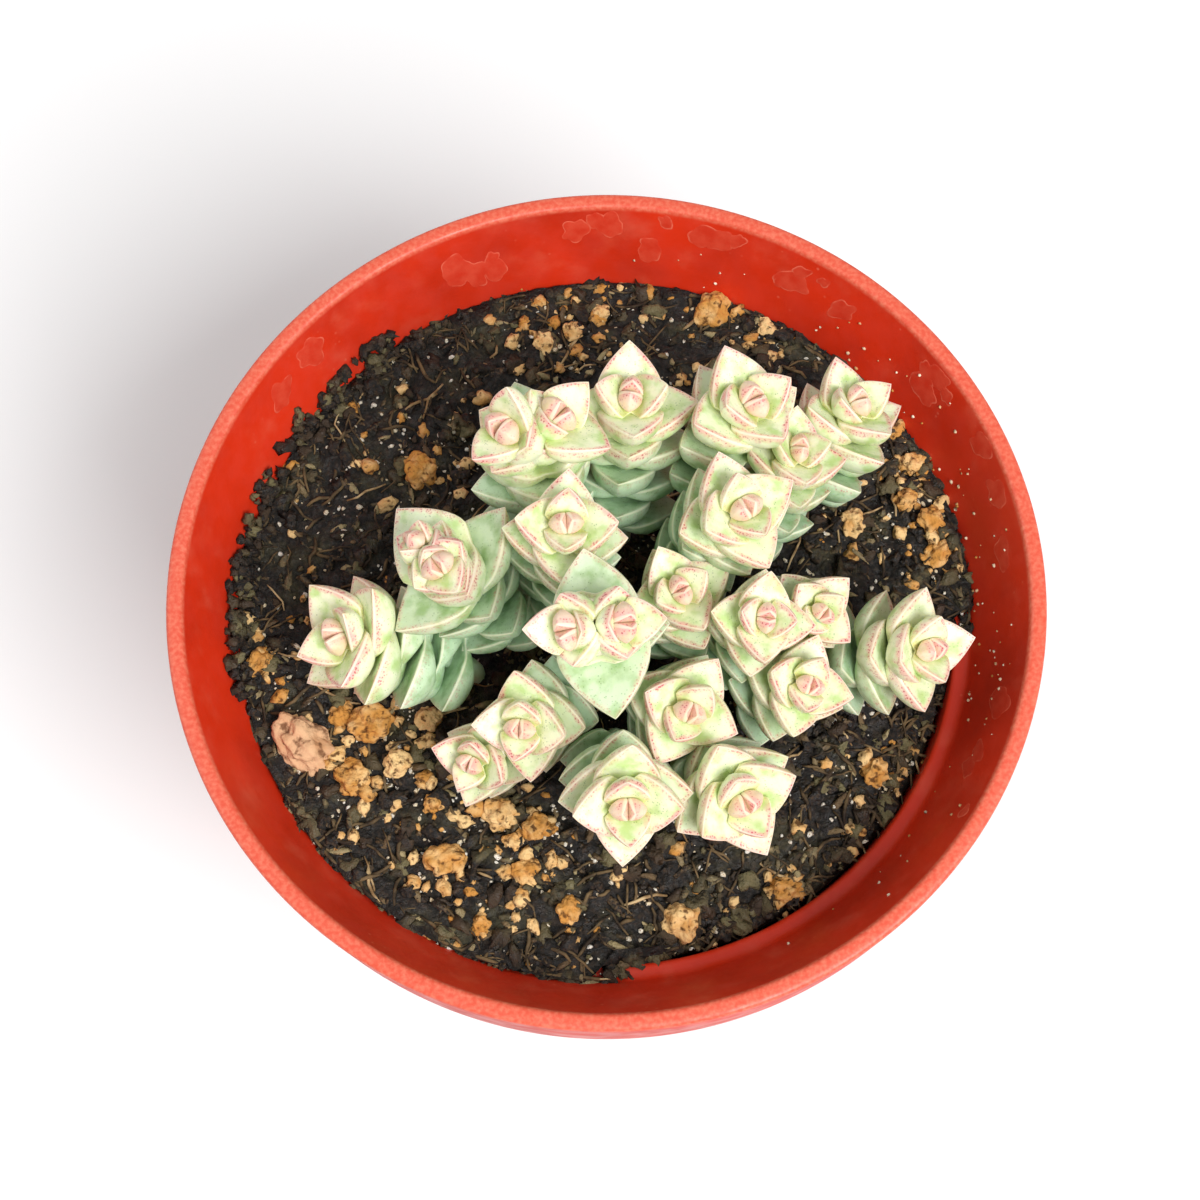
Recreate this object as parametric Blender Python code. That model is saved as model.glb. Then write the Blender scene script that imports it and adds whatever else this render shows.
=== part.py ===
"""Potted crassula: a clump of short stems stacked with keeled leaf pairs, in a red plastic pot.

The pot stands on Z = 0 with its axis on Z. Every size below is in millimetres, and each finished
mesh is scaled to metres at the end. The camera of a viewer in front of the pot looks along +Y.
"""
import math
from random import Random

import bmesh
import bpy
from mathutils import Matrix, Vector
from mathutils.bvhtree import BVHTree

MM = 0.001
GAP = 0.3
POT_SHARP_DEG = 35.0
LEAF_SHARP_DEG = 50.0

# Pot: a thin moulded wall, a sloping throat under the lip, a ledge, and a skirt round the outside.
POT_STEPS = 48
RIM_R = 50.0
POT_H = 80.0
LIP = 1.8
LIP_ROUND = 0.5
WALL = 1.6
THROAT_R = 43.0
LEDGE_Z = 68.2
LEDGE_R = 41.2
FLOOR_Z = 3.2
FLOOR_R = 33.4
UNDERSIDE_Z = 1.5
FOOT_R = 35.0
FOOT_WIDTH = 4.0
SKIRT_H = 13.0
SKIRT_DRAFT = 0.7
SKIRT_WALL = 1.5
GROOVE_TOP_Z = 75.6
GROOVE_END_WALL = 0.3
DRAIN_CENTRE_R = 4.0
DRAIN_R = 3.0
DRAIN_RING_R = 19.0
DRAINS = 6
RIBS = 8
RIB_FIRST_DEG = -107.5
RIB_WIDTH = 0.8
RIB_RISE = 2.0
RIB_INSET = 0.4
RIB_REACH = 1.5
DRAIN_SIDES = 10

# Soil: fills the pot over the ledge, but has shrunk off the ledge at the front right.
SOIL_STEPS = 36
SOIL_Z = 68.8
SOIL_LOW_Z = 64.8
SOIL_EDGE_R = 43.2
SOIL_EDGE_Z = 69.6
SHRUNK_R = 39.6
SHRUNK_EDGE_Z = 65.6
SHRUNK_FROM_DEG = -86.0
SHRUNK_TO_DEG = -8.0
SHRUNK_EASE = 0.25
INWARD_BY = 0.2
SINK_FROM = 0.7
SHRUNK_STEP = 0.8
SHRUNK_DISH = 0.8
RAGGED = 0.22
RAGGED_WAVES = 5
RELIEF_FADE_FROM = 0.6
RELIEF_FADE = 0.6
MOUND = 1.1
MOUND_AT = (3.0, -5.0)
MOUND_R = 22.0
# Lumps of the surface: height, waves along X and along Y in radians a millimetre, and a shift.
LUMPS = ((0.34, 0.47, 0.12, 1.3), (0.26, 0.92, -0.61, 2.0), (0.2, 0.55, 1.24, 0.0), (0.17, 0.33, -0.85, 0.7))
TOP_RING_SHARES = (0.935, 0.84, 0.7, 0.53, 0.34, 0.16)
HOLE_R = 1.8
HOLE_SIDES = 6
HOLE_FLOOR_Z = 60.0

# Gravel on the soil: x, y and half-width, with the one long stone given a length and a turn.
LONG_STONE = (-35.4, -14.8, 2.7, 1.5, -52.0)
STONES = (
    (-21.1, -12.3, 1.6), (-27.8, -12.6, 2.3), (-31.2, -11.6, 1.3), (-29.8, -18.9, 2.0),
    (-24.6, -17.6, 1.6), (-12.8, -23.6, 1.9), (-8.8, -25.4, 1.5), (-11.4, -27.0, 1.1),
    (-10.0, -30.4, 1.6), (-19.1, -28.8, 2.0), (7.4, -36.4, 2.2), (19.6, -33.0, 1.6),
    (37.5, 18.0, 1.4), (39.3, 10.5, 1.6), (39.6, 6.4, 1.4), (36.3, 13.4, 1.3),
    (14.2, 39.3, 2.0), (20.9, 36.6, 1.1), (0.3, 39.4, 1.1), (-3.1, 37.0, 1.2),
    (-6.6, 35.4, 1.4), (-22.0, 18.9, 2.0), (-41.0, -4.7, 1.5), (30.6, -19.6, 1.5),
    (-5.0, -35.1, 1.4), (29.7, 10.7, 1.5), (-15.2, -36.6, 1.1), (-20.6, -22.3, 1.0),
)
STONE_SEED = 7
STONE_LIFT = 0.25
STONE_HEIGHT = 0.8
STONE_ROUGH = 0.12
BIG_STONE = 2.5

# Stems: each row is a name, the foot on the soil, and its one or two heads.
# A head is the bud's tip, the turn of the first leaf pair in degrees, and a size factor.
CROWN_Z = 70.2
STEM_R = 1.15
BRANCH_FOOT_R = 0.7
LIGHT = Vector((0.0, -0.33, 0.94))
TO_LIGHT = 0.78
FOOT_PULL = 0.3
TOP_PULL = 0.38
FORK_BACK = 7.5
BRANCH_SINK = 1.2
TRUNK_END = 0.5
PATH_STEPS = 24
BRANCH_STEPS = 10
STEMS = (
    ("stem_01", (-5.5, 6.5), (((-11.2, 12.6, 97.0), 50.0, 1.2), ((-4.2, 14.4, 97.0), 52.0, 1.15))),
    ("stem_02", (2.0, 9.5), (((3.4, 18.4, 93.0), -5.0, 1.1),)),
    ("stem_03", (11.5, 10.0), (((17.1, 16.8, 94.0), 30.0, 1.15),)),
    ("stem_04", (23.0, 11.5), (((29.8, 19.5, 87.0), 20.0, 1.0),)),
    ("stem_05", (17.0, 6.5), (((22.3, 12.6, 90.0), 0.0, 0.88),)),
    ("stem_06", (7.5, 2.0), (((15.6, 3.2, 96.0), 115.0, 1.0),)),
    ("stem_07", (-6.0, -1.0), (((-4.0, 1.7, 97.0), 90.0, 0.95),)),
    ("stem_08", (0.5, -6.0), (((-4.7, -12.2, 102.0), 0.0, 1.08), ((2.2, -11.4, 102.0), 8.0, 1.06))),
    ("stem_09", (7.5, -4.5), (((8.2, -3.9, 90.0), 28.0, 0.9),)),
    ("stem_10", (-9.5, -3.6), (((-18.0, -2.4, 95.0), 130.0, 1.0), ((-21.3, 1.7, 94.0), 60.0, 0.92))),
    ("stem_11", (-15.5, -7.0), (((-30.7, -7.1, 86.0), 20.0, 1.12),)),
    ("stem_12", (13.0, -7.0), (((17.3, -8.4, 93.0), -8.0, 0.85),)),
    ("stem_13", (19.5, -1.5), (((24.0, -6.7, 88.0), 45.0, 0.75),)),
    ("stem_14", (16.5, -12.5), (((22.2, -14.7, 88.0), 75.0, 0.85),)),
    ("stem_15", (24.0, -8.0), (((36.2, -10.5, 86.0), 100.0, 1.0),)),
    ("stem_16", (5.5, -12.5), (((8.8, -17.8, 89.0), 62.0, 0.95),)),
    ("stem_17", (8.0, -19.5), (((14.5, -27.9, 88.0), 118.0, 1.03),)),
    ("stem_18", (0.5, -17.0), (((1.7, -28.9, 91.0), 88.0, 1.0),)),
    ("stem_19", (-5.0, -12.0), (((-10.0, -18.7, 87.0), 83.0, 0.9),)),
    ("stem_20", (-9.8, -16.5), (((-15.9, -21.5, 83.0), 65.0, 0.8),)),
)

# Leaf pairs by age, from the closed bud down: node depth below the bud's tip, leaf length, rise.
NODE_DEPTHS = (2.4, 3.2, 4.3, 5.9, 7.9)
OLD_SPACING = 2.35
DEPTH_GROWS = 0.15
END_MARGIN = 1.0
LEAF_LENGTHS = (2.5, 5.0, 6.8, 7.5, 7.6)
OLD_SHRINK = 0.97
LEAF_RISES_DEG = (78.0, 44.0, 29.0, 20.0, 14.0)
OLD_RISE_DEG = 11.0
LEAF_HALF_WIDTH = 0.5
WIDEST = 0.26
POINT_POWER = 1.7
NARROWING = 0.6
NECK = 0.45
NECK_SLOPE = 1.3
THIN_POWER = 2.4
WAISTS = (0.8, 0.6, 0.65, 0.75, 0.9)
CORE_RADII = (0.5, 0.7, 0.9, 1.05, 1.15)
ROOT_HEIGHTS = (0.7, 0.6, 0.9, 1.3, 1.7)
LEAF_THICK = 0.3
BUD_THICK = 0.68
CUP = 0.13
CURL_DEG = 9.0
MIDLINE_STEPS = 8
BEND_SHARE = 0.22
PAIR_TURN_JITTER_DEG = 5.0
LOWEST_PAIR_Z = 73.8
FORK_PAIR_GROWTH = 1.28
FINE_RANKS = 4
FINE_RINGS = (0.3, 0.62, 0.86)
PLAIN_RINGS = (0.4, 0.78)
LOWEST_RISE_DEG = -20.0
PAIR_SEED = 11

# Where two leaves would cross, the older one is bent down or shortened in steps.
CLEARANCE = 0.08
BEND_DOWN_DEG = 2.0
SHORTEN = 0.93
SHORTEST = 0.3
FORK_SHORTEST = 0.6
CLEAR_ROUNDS = 60

RED_PLASTIC = ("red_plastic", (0.62, 0.045, 0.016), 0.42)
POTTING_SOIL = ("potting_soil", (0.022, 0.017, 0.012), 0.95)
LEAF_GREEN = ("leaf_green", (0.50, 0.60, 0.34), 0.55)


def clear_scene():
    """Remove every object that the scene starts with."""
    for old in list(bpy.data.objects):
        bpy.data.objects.remove(old, do_unlink=True)


def make_material(name, colour, roughness):
    """A plain Principled material."""
    material = bpy.data.materials.new(name)
    material.use_nodes = True
    shader = material.node_tree.nodes["Principled BSDF"]
    shader.inputs["Base Color"].default_value = (*colour, 1.0)
    shader.inputs["Roughness"].default_value = roughness
    shader.inputs["Metallic"].default_value = 0.0
    return material


def add_object(name, bm):
    """Turn a bmesh in millimetres into an object, still in millimetres."""
    bmesh.ops.recalc_face_normals(bm, faces=bm.faces)
    mesh = bpy.data.meshes.new(name)
    bm.to_mesh(mesh)
    bm.free()
    obj = bpy.data.objects.new(name, mesh)
    bpy.context.scene.collection.objects.link(obj)
    return obj


def finish_object(obj, material, sharp_deg):
    """Scale the mesh to metres, shade it and give it its material."""
    obj.data.transform(Matrix.Scale(MM, 4))
    obj.data.shade_smooth()
    obj.data.set_sharp_from_angle(angle=math.radians(sharp_deg))
    obj.data.materials.clear()
    obj.data.materials.append(material)


def combine(obj, parts, operation):
    """Join the parts to the object, or cut them out of it, with one Boolean, and apply it."""
    group = bpy.data.collections.new("operands")
    bpy.context.scene.collection.children.link(group)
    for part in parts:
        bpy.context.scene.collection.objects.unlink(part)
        group.objects.link(part)
    boolean = obj.modifiers.new("combine", "BOOLEAN")
    boolean.operation = operation
    boolean.operand_type = "COLLECTION"
    boolean.collection = group
    boolean.solver = "EXACT"
    bpy.context.view_layer.update()
    evaluated = obj.evaluated_get(bpy.context.evaluated_depsgraph_get())
    joined = bpy.data.meshes.new_from_object(evaluated)
    obj.modifiers.clear()
    obj.data = joined
    for part in parts:
        bpy.data.objects.remove(part, do_unlink=True)
    bpy.data.collections.remove(group)


def eased(share):
    """A share held between none and one, eased at both ends."""
    share = min(1.0, max(0.0, share))
    return share * share * (3.0 - 2.0 * share)


def polar(radius, degrees, z=0.0):
    """A point at a radius and a compass angle round Z."""
    angle = math.radians(degrees)
    return Vector((radius * math.cos(angle), radius * math.sin(angle), z))


def turned(profile, steps):
    """A closed body from a section in the XZ plane, turned once round Z."""
    bm = bmesh.new()
    verts = [bm.verts.new((radius, 0.0, z)) for radius, z in profile]
    edges = [bm.edges.new(pair) for pair in zip(verts, verts[1:])]
    if profile[0][0] > 0.0:
        edges.append(bm.edges.new((verts[-1], verts[0])))
    bmesh.ops.spin(bm, geom=verts + edges, cent=(0, 0, 0), axis=(0, 0, 1),
                   angle=math.tau, steps=steps, use_merge=True)
    bmesh.ops.remove_doubles(bm, verts=bm.verts, dist=0.001)
    return bm


def rod(name, radius, low_z, high_z, centre, sides):
    """A plain upright rod, used to cut a hole."""
    bm = bmesh.new()
    middle = Vector((centre[0], centre[1], (low_z + high_z) / 2))
    bmesh.ops.create_cone(bm, cap_ends=True, segments=sides, radius1=radius, radius2=radius,
                          depth=high_z - low_z, matrix=Matrix.Translation(middle))
    return add_object(name, bm)


def pot_section():
    """The pot wall's closed section as (radius, height), from the centre drain outwards."""
    slope = (RIM_R - LIP - THROAT_R) / (POT_H - LEDGE_Z)
    throat_wall = WALL * math.hypot(1.0, slope)
    under_ledge_z = LEDGE_Z - WALL
    skirt_low_r = RIM_R - SKIRT_DRAFT
    skirt_low_z = POT_H - SKIRT_H
    return (
        (DRAIN_CENTRE_R, UNDERSIDE_Z),
        (FOOT_R - FOOT_WIDTH - UNDERSIDE_Z, UNDERSIDE_Z),
        (FOOT_R - FOOT_WIDTH, 0.0),
        (FOOT_R, 0.0),
        (LEDGE_R + WALL, under_ledge_z - WALL),
        (THROAT_R + throat_wall, LEDGE_Z - WALL / 2),
        (THROAT_R + throat_wall + slope * (GROOVE_TOP_Z - LEDGE_Z), GROOVE_TOP_Z),
        (RIM_R - SKIRT_WALL - GROOVE_END_WALL, GROOVE_TOP_Z),
        (skirt_low_r - SKIRT_WALL, skirt_low_z),
        (skirt_low_r, skirt_low_z),
        (RIM_R, POT_H - LIP_ROUND),
        (RIM_R - LIP_ROUND, POT_H),
        (RIM_R - LIP, POT_H),
        (THROAT_R, LEDGE_Z),
        (LEDGE_R, LEDGE_Z),
        (FLOOR_R, FLOOR_Z),
        (DRAIN_CENTRE_R, FLOOR_Z),
    )


def rib_angles():
    """The compass angles of the stacking ribs on the ledge."""
    return [RIB_FIRST_DEG + 360.0 * index / RIBS for index in range(RIBS)]


def rib_block(name, degrees, grow):
    """A stacking rib on the ledge, or with some growth the slot that the soil leaves for it."""
    bm = bmesh.new()
    inner = LEDGE_R + RIB_INSET
    outer = THROAT_R + RIB_REACH
    size = Vector((outer - inner + 2 * grow, RIB_WIDTH + 2 * grow, RIB_RISE + WALL + 2 * grow))
    centre = polar((inner + outer) / 2, degrees, LEDGE_Z - WALL / 2 + (RIB_RISE + WALL) / 2)
    matrix = Matrix.LocRotScale(centre, Matrix.Rotation(math.radians(degrees), 3, "Z"), size)
    bmesh.ops.create_cube(bm, size=1.0, matrix=matrix)
    return add_object(name, bm)


def make_pot(material):
    """The pot: its turned wall, the stacking ribs and the drainage holes."""
    pot = add_object("pot", turned(pot_section(), POT_STEPS))
    combine(pot, [rib_block("rib", degrees, 0.0) for degrees in rib_angles()], "UNION")
    drains = []
    for index in range(DRAINS):
        centre = polar(DRAIN_RING_R, 360.0 * index / DRAINS)
        drains.append(rod("drain", DRAIN_R, UNDERSIDE_Z - 1.0, FLOOR_Z + 1.0, centre, DRAIN_SIDES))
    combine(pot, drains, "DIFFERENCE")
    finish_object(pot, material, POT_SHARP_DEG)
    return pot


def soil_relief(x, y):
    """How far the soil's surface stands above its mean level."""
    near = math.hypot(x - MOUND_AT[0], y - MOUND_AT[1]) / MOUND_R
    mound = MOUND * math.exp(-near * near)
    return mound + sum(high * math.sin(kx * x + ky * y + shift) for high, kx, ky, shift in LUMPS)


def shrunk_share(degrees):
    """One where the soil has drawn back from the wall, none elsewhere, eased between."""
    middle = (SHRUNK_FROM_DEG + SHRUNK_TO_DEG) / 2
    half = (SHRUNK_TO_DEG - SHRUNK_FROM_DEG) / 2
    off = abs((degrees - middle + 180.0) % 360.0 - 180.0) / half
    return eased((1.0 + SHRUNK_EASE - off) / (2 * SHRUNK_EASE))


def wall_radius(z):
    """The radius of the pot's inner wall at a height."""
    if z < LEDGE_Z:
        return FLOOR_R + (LEDGE_R - FLOOR_R) * (z - FLOOR_Z) / (LEDGE_Z - FLOOR_Z)
    return THROAT_R + (RIM_R - LIP - THROAT_R) * (z - LEDGE_Z) / (POT_H - LEDGE_Z)


def kept_inside(co):
    """The point, lifted clear of the pot's ledge and drawn in from its wall if it is too near."""
    radius = math.hypot(co.x, co.y)
    if radius < LEDGE_R - 2 * GAP:
        return co
    z = max(co.z, LEDGE_Z + 1.4 * GAP)
    share = min(1.0, (wall_radius(z) - 2 * GAP) / radius)
    return Vector((co.x * share, co.y * share, z))


def soil_section():
    """The soil's section from the pot's floor up the wall and back to the axis."""
    points = [(0.0, FLOOR_Z + GAP), (FLOOR_R - GAP, FLOOR_Z + GAP)]
    points += [(wall_radius(SOIL_LOW_Z) - GAP, SOIL_LOW_Z)]
    points += [(LEDGE_R - GAP, LEDGE_Z + GAP), (SOIL_EDGE_R - 2.5 * GAP, LEDGE_Z + 1.4 * GAP)]
    points += [(SOIL_EDGE_R, SOIL_EDGE_Z)]
    points += [(SOIL_EDGE_R * share, SOIL_Z) for share in TOP_RING_SHARES]
    return points + [(0.0, SOIL_Z)]


def surface_height(x, y, share):
    """The height of the soil's surface for a point of the turned soil, before any squeeze."""
    rim_share = max(0.0, math.hypot(x, y) / SOIL_EDGE_R - RELIEF_FADE_FROM) / (1.0 - RELIEF_FADE_FROM)
    drop = share * (SOIL_Z - SHRUNK_EDGE_Z) * SHRUNK_DISH * rim_share * rim_share
    return SOIL_Z + soil_relief(x, y) * (1.0 - RELIEF_FADE * rim_share) - drop


def squeeze_to(share):
    """How far the soil's top is drawn in where it has shrunk."""
    return 1.0 + share * (SHRUNK_R / SOIL_EDGE_R - 1.0)


def shape_soil_point(co):
    """Move a point of the turned soil to the uneven surface and the drawn-back edge."""
    radius = math.hypot(co.x, co.y)
    share = shrunk_share(math.degrees(math.atan2(co.y, co.x)))
    if co.z < LEDGE_Z:
        return co
    over = (radius - LEDGE_R + GAP) / (SOIL_EDGE_R - LEDGE_R + GAP)
    if over > -0.01:
        inward = min(1.0, share / INWARD_BY)
        sunk = max(0.0, (share - SINK_FROM) / (1.0 - SINK_FROM))
        under = SHRUNK_STEP * (1.0 - over)
        new_radius = radius + inward * (SHRUNK_R + under - radius)
        new_z = co.z + sunk * (SHRUNK_EDGE_Z - under / 2 - co.z)
        ragged = RAGGED * math.sin(RAGGED_WAVES * math.atan2(co.y, co.x)) * over * (1.0 - share)
        return Vector((co.x * new_radius / radius, co.y * new_radius / radius, new_z + ragged))
    squeeze = squeeze_to(share)
    return Vector((co.x * squeeze, co.y * squeeze, surface_height(co.x, co.y, share)))


def soil_top(x, y):
    """The height of the finished soil's surface at a place away from its edge."""
    share = shrunk_share(math.degrees(math.atan2(y, x)))
    squeeze = squeeze_to(share)
    return surface_height(x / squeeze, y / squeeze, share)


def stone(name, at, half, stretch, turn_deg, rng):
    """A rough pebble, half sunk in the soil."""
    bm = bmesh.new()
    bmesh.ops.create_icosphere(bm, subdivisions=2 if half > BIG_STONE else 1, radius=1.0)
    turn = Matrix.Rotation(math.radians(turn_deg), 3, "Z")
    centre = Vector((at[0], at[1], soil_top(*at) + STONE_LIFT * half))
    for vert in bm.verts:
        rough = rng.uniform(1.0 - STONE_ROUGH, 1.0 + STONE_ROUGH)
        local = Vector((vert.co.x * stretch, vert.co.y, vert.co.z * STONE_HEIGHT)) * half
        vert.co = kept_inside(centre + turn @ (local * rough))
    return add_object(name, bm)


def make_soil(material):
    """The soil: its body, the pebbles fused to it, slots for the ribs and holes for the stems."""
    bm = turned(soil_section(), SOIL_STEPS)
    for vert in bm.verts:
        vert.co = shape_soil_point(vert.co)
    bmesh.ops.triangulate(bm, faces=bm.faces)
    soil = add_object("soil", bm)
    rng = Random(STONE_SEED)
    x, y, half, stretch, turn = LONG_STONE
    stones = [stone("stone", (x, y), half, stretch, turn, rng)]
    for x, y, half in STONES:
        stones.append(stone("stone", (x, y), half, rng.uniform(1.0, 1.25), rng.uniform(0, 180), rng))
    combine(soil, stones, "UNION")
    cutters = [rib_block("slot", degrees, GAP) for degrees in rib_angles()]
    for _, foot, _ in STEMS:
        cutters.append(rod("hole", HOLE_R, HOLE_FLOOR_Z, POT_H, foot, HOLE_SIDES))
    combine(soil, cutters, "DIFFERENCE")
    finish_object(soil, material, POT_SHARP_DEG)
    return soil


class Path:
    """A smooth line up a stem, measured back from its upper end."""

    def __init__(self, points):
        """Keep the points, from the foot up, with their distances back from the top."""
        self.points = points
        self.back = [0.0]
        for low, high in zip(points[-2::-1], points[:0:-1]):
            self.back.append(self.back[-1] + (high - low).length)
        self.back.reverse()
        self.length = self.back[0]

    def at(self, depth):
        """The point and the upward direction at a distance back from the top."""
        index = len(self.points) - 2
        while index > 0 and self.back[index] < depth:
            index -= 1
        low, high = self.points[index], self.points[index + 1]
        share = (self.back[index] - depth) / (self.back[index] - self.back[index + 1])
        return low.lerp(high, share), (high - low).normalized()


def curved_path(foot, foot_direction, top, steps):
    """A line that leaves the foot in one direction, leans over and turns up to the light."""
    reach = (top - foot).length
    first = foot + foot_direction * reach * FOOT_PULL
    nod = (top - first).normalized().lerp(LIGHT, TO_LIGHT).normalized()
    last = top - nod * reach * TOP_PULL
    points = []
    for step in range(steps + 1):
        t = step / steps
        s = 1.0 - t
        points.append(foot * s ** 3 + first * 3 * s * s * t + last * 3 * s * t * t + top * t ** 3)
    return points


class Pair:
    """Two opposite leaves grown together round the stem."""

    def __init__(self, path, depth, rank, turn_deg, size):
        """Place the pair on its path and give it the size and rise of its age."""
        self.centre, self.axis = path.at(depth)
        toward = polar(1.0, turn_deg + 90.0 * (rank - 1))
        self.out = (toward - self.axis * toward.dot(self.axis)).normalized()
        self.across = self.axis.cross(self.out)
        self.rank = rank
        last = len(LEAF_LENGTHS) - 1
        self.length = LEAF_LENGTHS[min(rank, last)] * size
        if rank > last:
            self.length *= OLD_SHRINK ** (rank - last)
        rise = math.radians(LEAF_RISES_DEG[rank] if rank <= last else OLD_RISE_DEG)
        self.thick = self.length * (BUD_THICK if rank == 0 else LEAF_THICK)
        self.half_width = self.length * LEAF_HALF_WIDTH
        self.waist = WAISTS[min(rank, last)]
        self.core = CORE_RADII[min(rank, last)]
        self.root_height = ROOT_HEIGHTS[min(rank, last)]
        self.rings = FINE_RINGS if 0 < rank < FINE_RANKS else PLAIN_RINGS
        self.rises = [rise, rise]
        self.shares = [1.0, 1.0]

    def place(self, out, across, up):
        """A point in the pair's own directions."""
        return self.centre + self.out * out + self.across * across + self.axis * up

    def midline(self, along, side):
        """How far out and up the leaf's midline is, and its slope there."""
        out = 0.0
        up = 0.0
        angle = 0.0
        for step in range(MIDLINE_STEPS):
            u = along * (step + 0.5) / MIDLINE_STEPS
            angle = self.rises[side] * eased(u / BEND_SHARE) + math.radians(CURL_DEG) * u * u
            out += math.cos(angle) * along / MIDLINE_STEPS
            up += math.sin(angle) * along / MIDLINE_STEPS
        return out * self.length, up * self.length, angle

    def skin(self, side, u, quarter, grow=0.0):
        """A point on a leaf: u from stem to tip; quarter 0 and 2 are margins, 1 top, 3 keel."""
        body = 1.0 - max(0.0, (u - WIDEST) / (1.0 - WIDEST)) ** POINT_POWER
        body *= self.waist + (1.0 - self.waist) * min(1.0, u / WIDEST)
        share = self.shares[side]
        narrowed = 1.0 - NARROWING * (1.0 - share)
        half_width = self.half_width * body * narrowed + grow
        thick = self.thick * min(1.0, NECK + NECK_SLOPE * u) * (1.0 - u ** THIN_POWER)
        out, up, slope = self.midline(u, side)
        across = (1.0, 0.0, -1.0, 0.0)[quarter]
        lift = CUP * self.half_width * body * across * across
        if quarter == 1:
            lift += grow
        if quarter == 3:
            lift -= thick + grow
        toward = 1.0 if side == 0 else -1.0
        x = toward * (out * share + grow * u - math.sin(slope) * lift)
        return self.place(x, toward * across * half_width, up * share + math.cos(slope) * lift)

    def tip(self, side, grow=0.0):
        """The leaf's point."""
        return self.skin(side, 1.0, 1, grow)

    def corners(self):
        """The eight-point collar on the stem: tops and feet of both roots, and the two waists."""
        half = self.root_height / 2
        return {
            "top": [self.place(self.core, 0, half), self.place(-self.core, 0, half)],
            "foot": [self.place(self.core, 0, -half), self.place(-self.core, 0, -half)],
            "waist": [self.place(0, self.core, 0), self.place(0, -self.core, 0)],
        }

    def root(self, side):
        """The four corners on the stem that one leaf grows from."""
        toward = 1.0 if side == 0 else -1.0
        core = toward * self.core
        half = self.root_height / 2
        return [self.place(0, core, 0), self.place(core, 0, half),
                self.place(0, -core, 0), self.place(core, 0, -half)]

    def test_tree(self, side, grow, from_root):
        """A search tree of one leaf's skin, with or without its root, and its points."""
        points = self.root(side) if from_root else []
        points += [self.skin(side, u, quarter, grow) for u in self.rings for quarter in range(4)]
        points.append(self.tip(side, grow))
        faces = []
        last = len(points) - 5
        for ring in range(0, last, 4):
            for quarter in range(4):
                low = ring + quarter
                after = ring + (quarter + 1) % 4
                faces += [(low, after, after + 4), (low, after + 4, low + 4)]
        faces += [(last + quarter, last + (quarter + 1) % 4, last + 4) for quarter in range(4)]
        return BVHTree.FromPolygons(points, faces), points


def draw_leaf(bm, pair, side, root):
    """Draw one leaf out of its root face on the stem, ring by ring, to its point."""
    face = bm.faces.new(root)
    for u in pair.rings:
        face = bmesh.ops.extrude_discrete_faces(bm, faces=[face])["faces"][0]
        for quarter, vert in enumerate(face.verts):
            vert.co = pair.skin(side, u, quarter)
    poked = bmesh.ops.poke(bm, faces=[face])
    poked["verts"][0].co = pair.tip(side)


def stem_body(path, pairs):
    """One closed body: the stem's core from its foot up, with every leaf drawn out of it."""
    bm = bmesh.new()
    lowest = pairs[-1]
    floor = [lowest.out, lowest.across, -lowest.out, -lowest.across]
    start = path.points[0]
    rooted = start.z < CROWN_Z
    foot_r = STEM_R if rooted else BRANCH_FOOT_R
    flat = [Vector((side.x, side.y, 0)).normalized() * foot_r for side in floor]
    below = [bm.verts.new(start + side) for side in flat]
    bm.faces.new(below)
    if rooted:
        raised = [bm.verts.new(path.points[1] + side) for side in flat]
        join_loops(bm, below, raised)
        below = raised
    for pair in reversed(pairs):
        corners = pair.corners()
        tops = [bm.verts.new(co) for co in corners["top"]]
        feet = [bm.verts.new(co) for co in corners["foot"]]
        waists = [bm.verts.new(co) for co in corners["waist"]]
        join_loops(bm, below, [feet[0], waists[0], feet[1], waists[1]])
        draw_leaf(bm, pair, 0, (waists[0], tops[0], waists[1], feet[0]))
        draw_leaf(bm, pair, 1, (waists[1], tops[1], waists[0], feet[1]))
        below = [waists[1], tops[0], waists[0], tops[1]]
    bm.faces.new(below)
    bmesh.ops.triangulate(bm, faces=bm.faces)
    return bm


def join_loops(bm, low, high):
    """Close the band between two loops of four corners."""
    for index in range(4):
        after = (index + 1) % 4
        bm.faces.new((low[index], low[after], high[after], high[index]))


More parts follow.
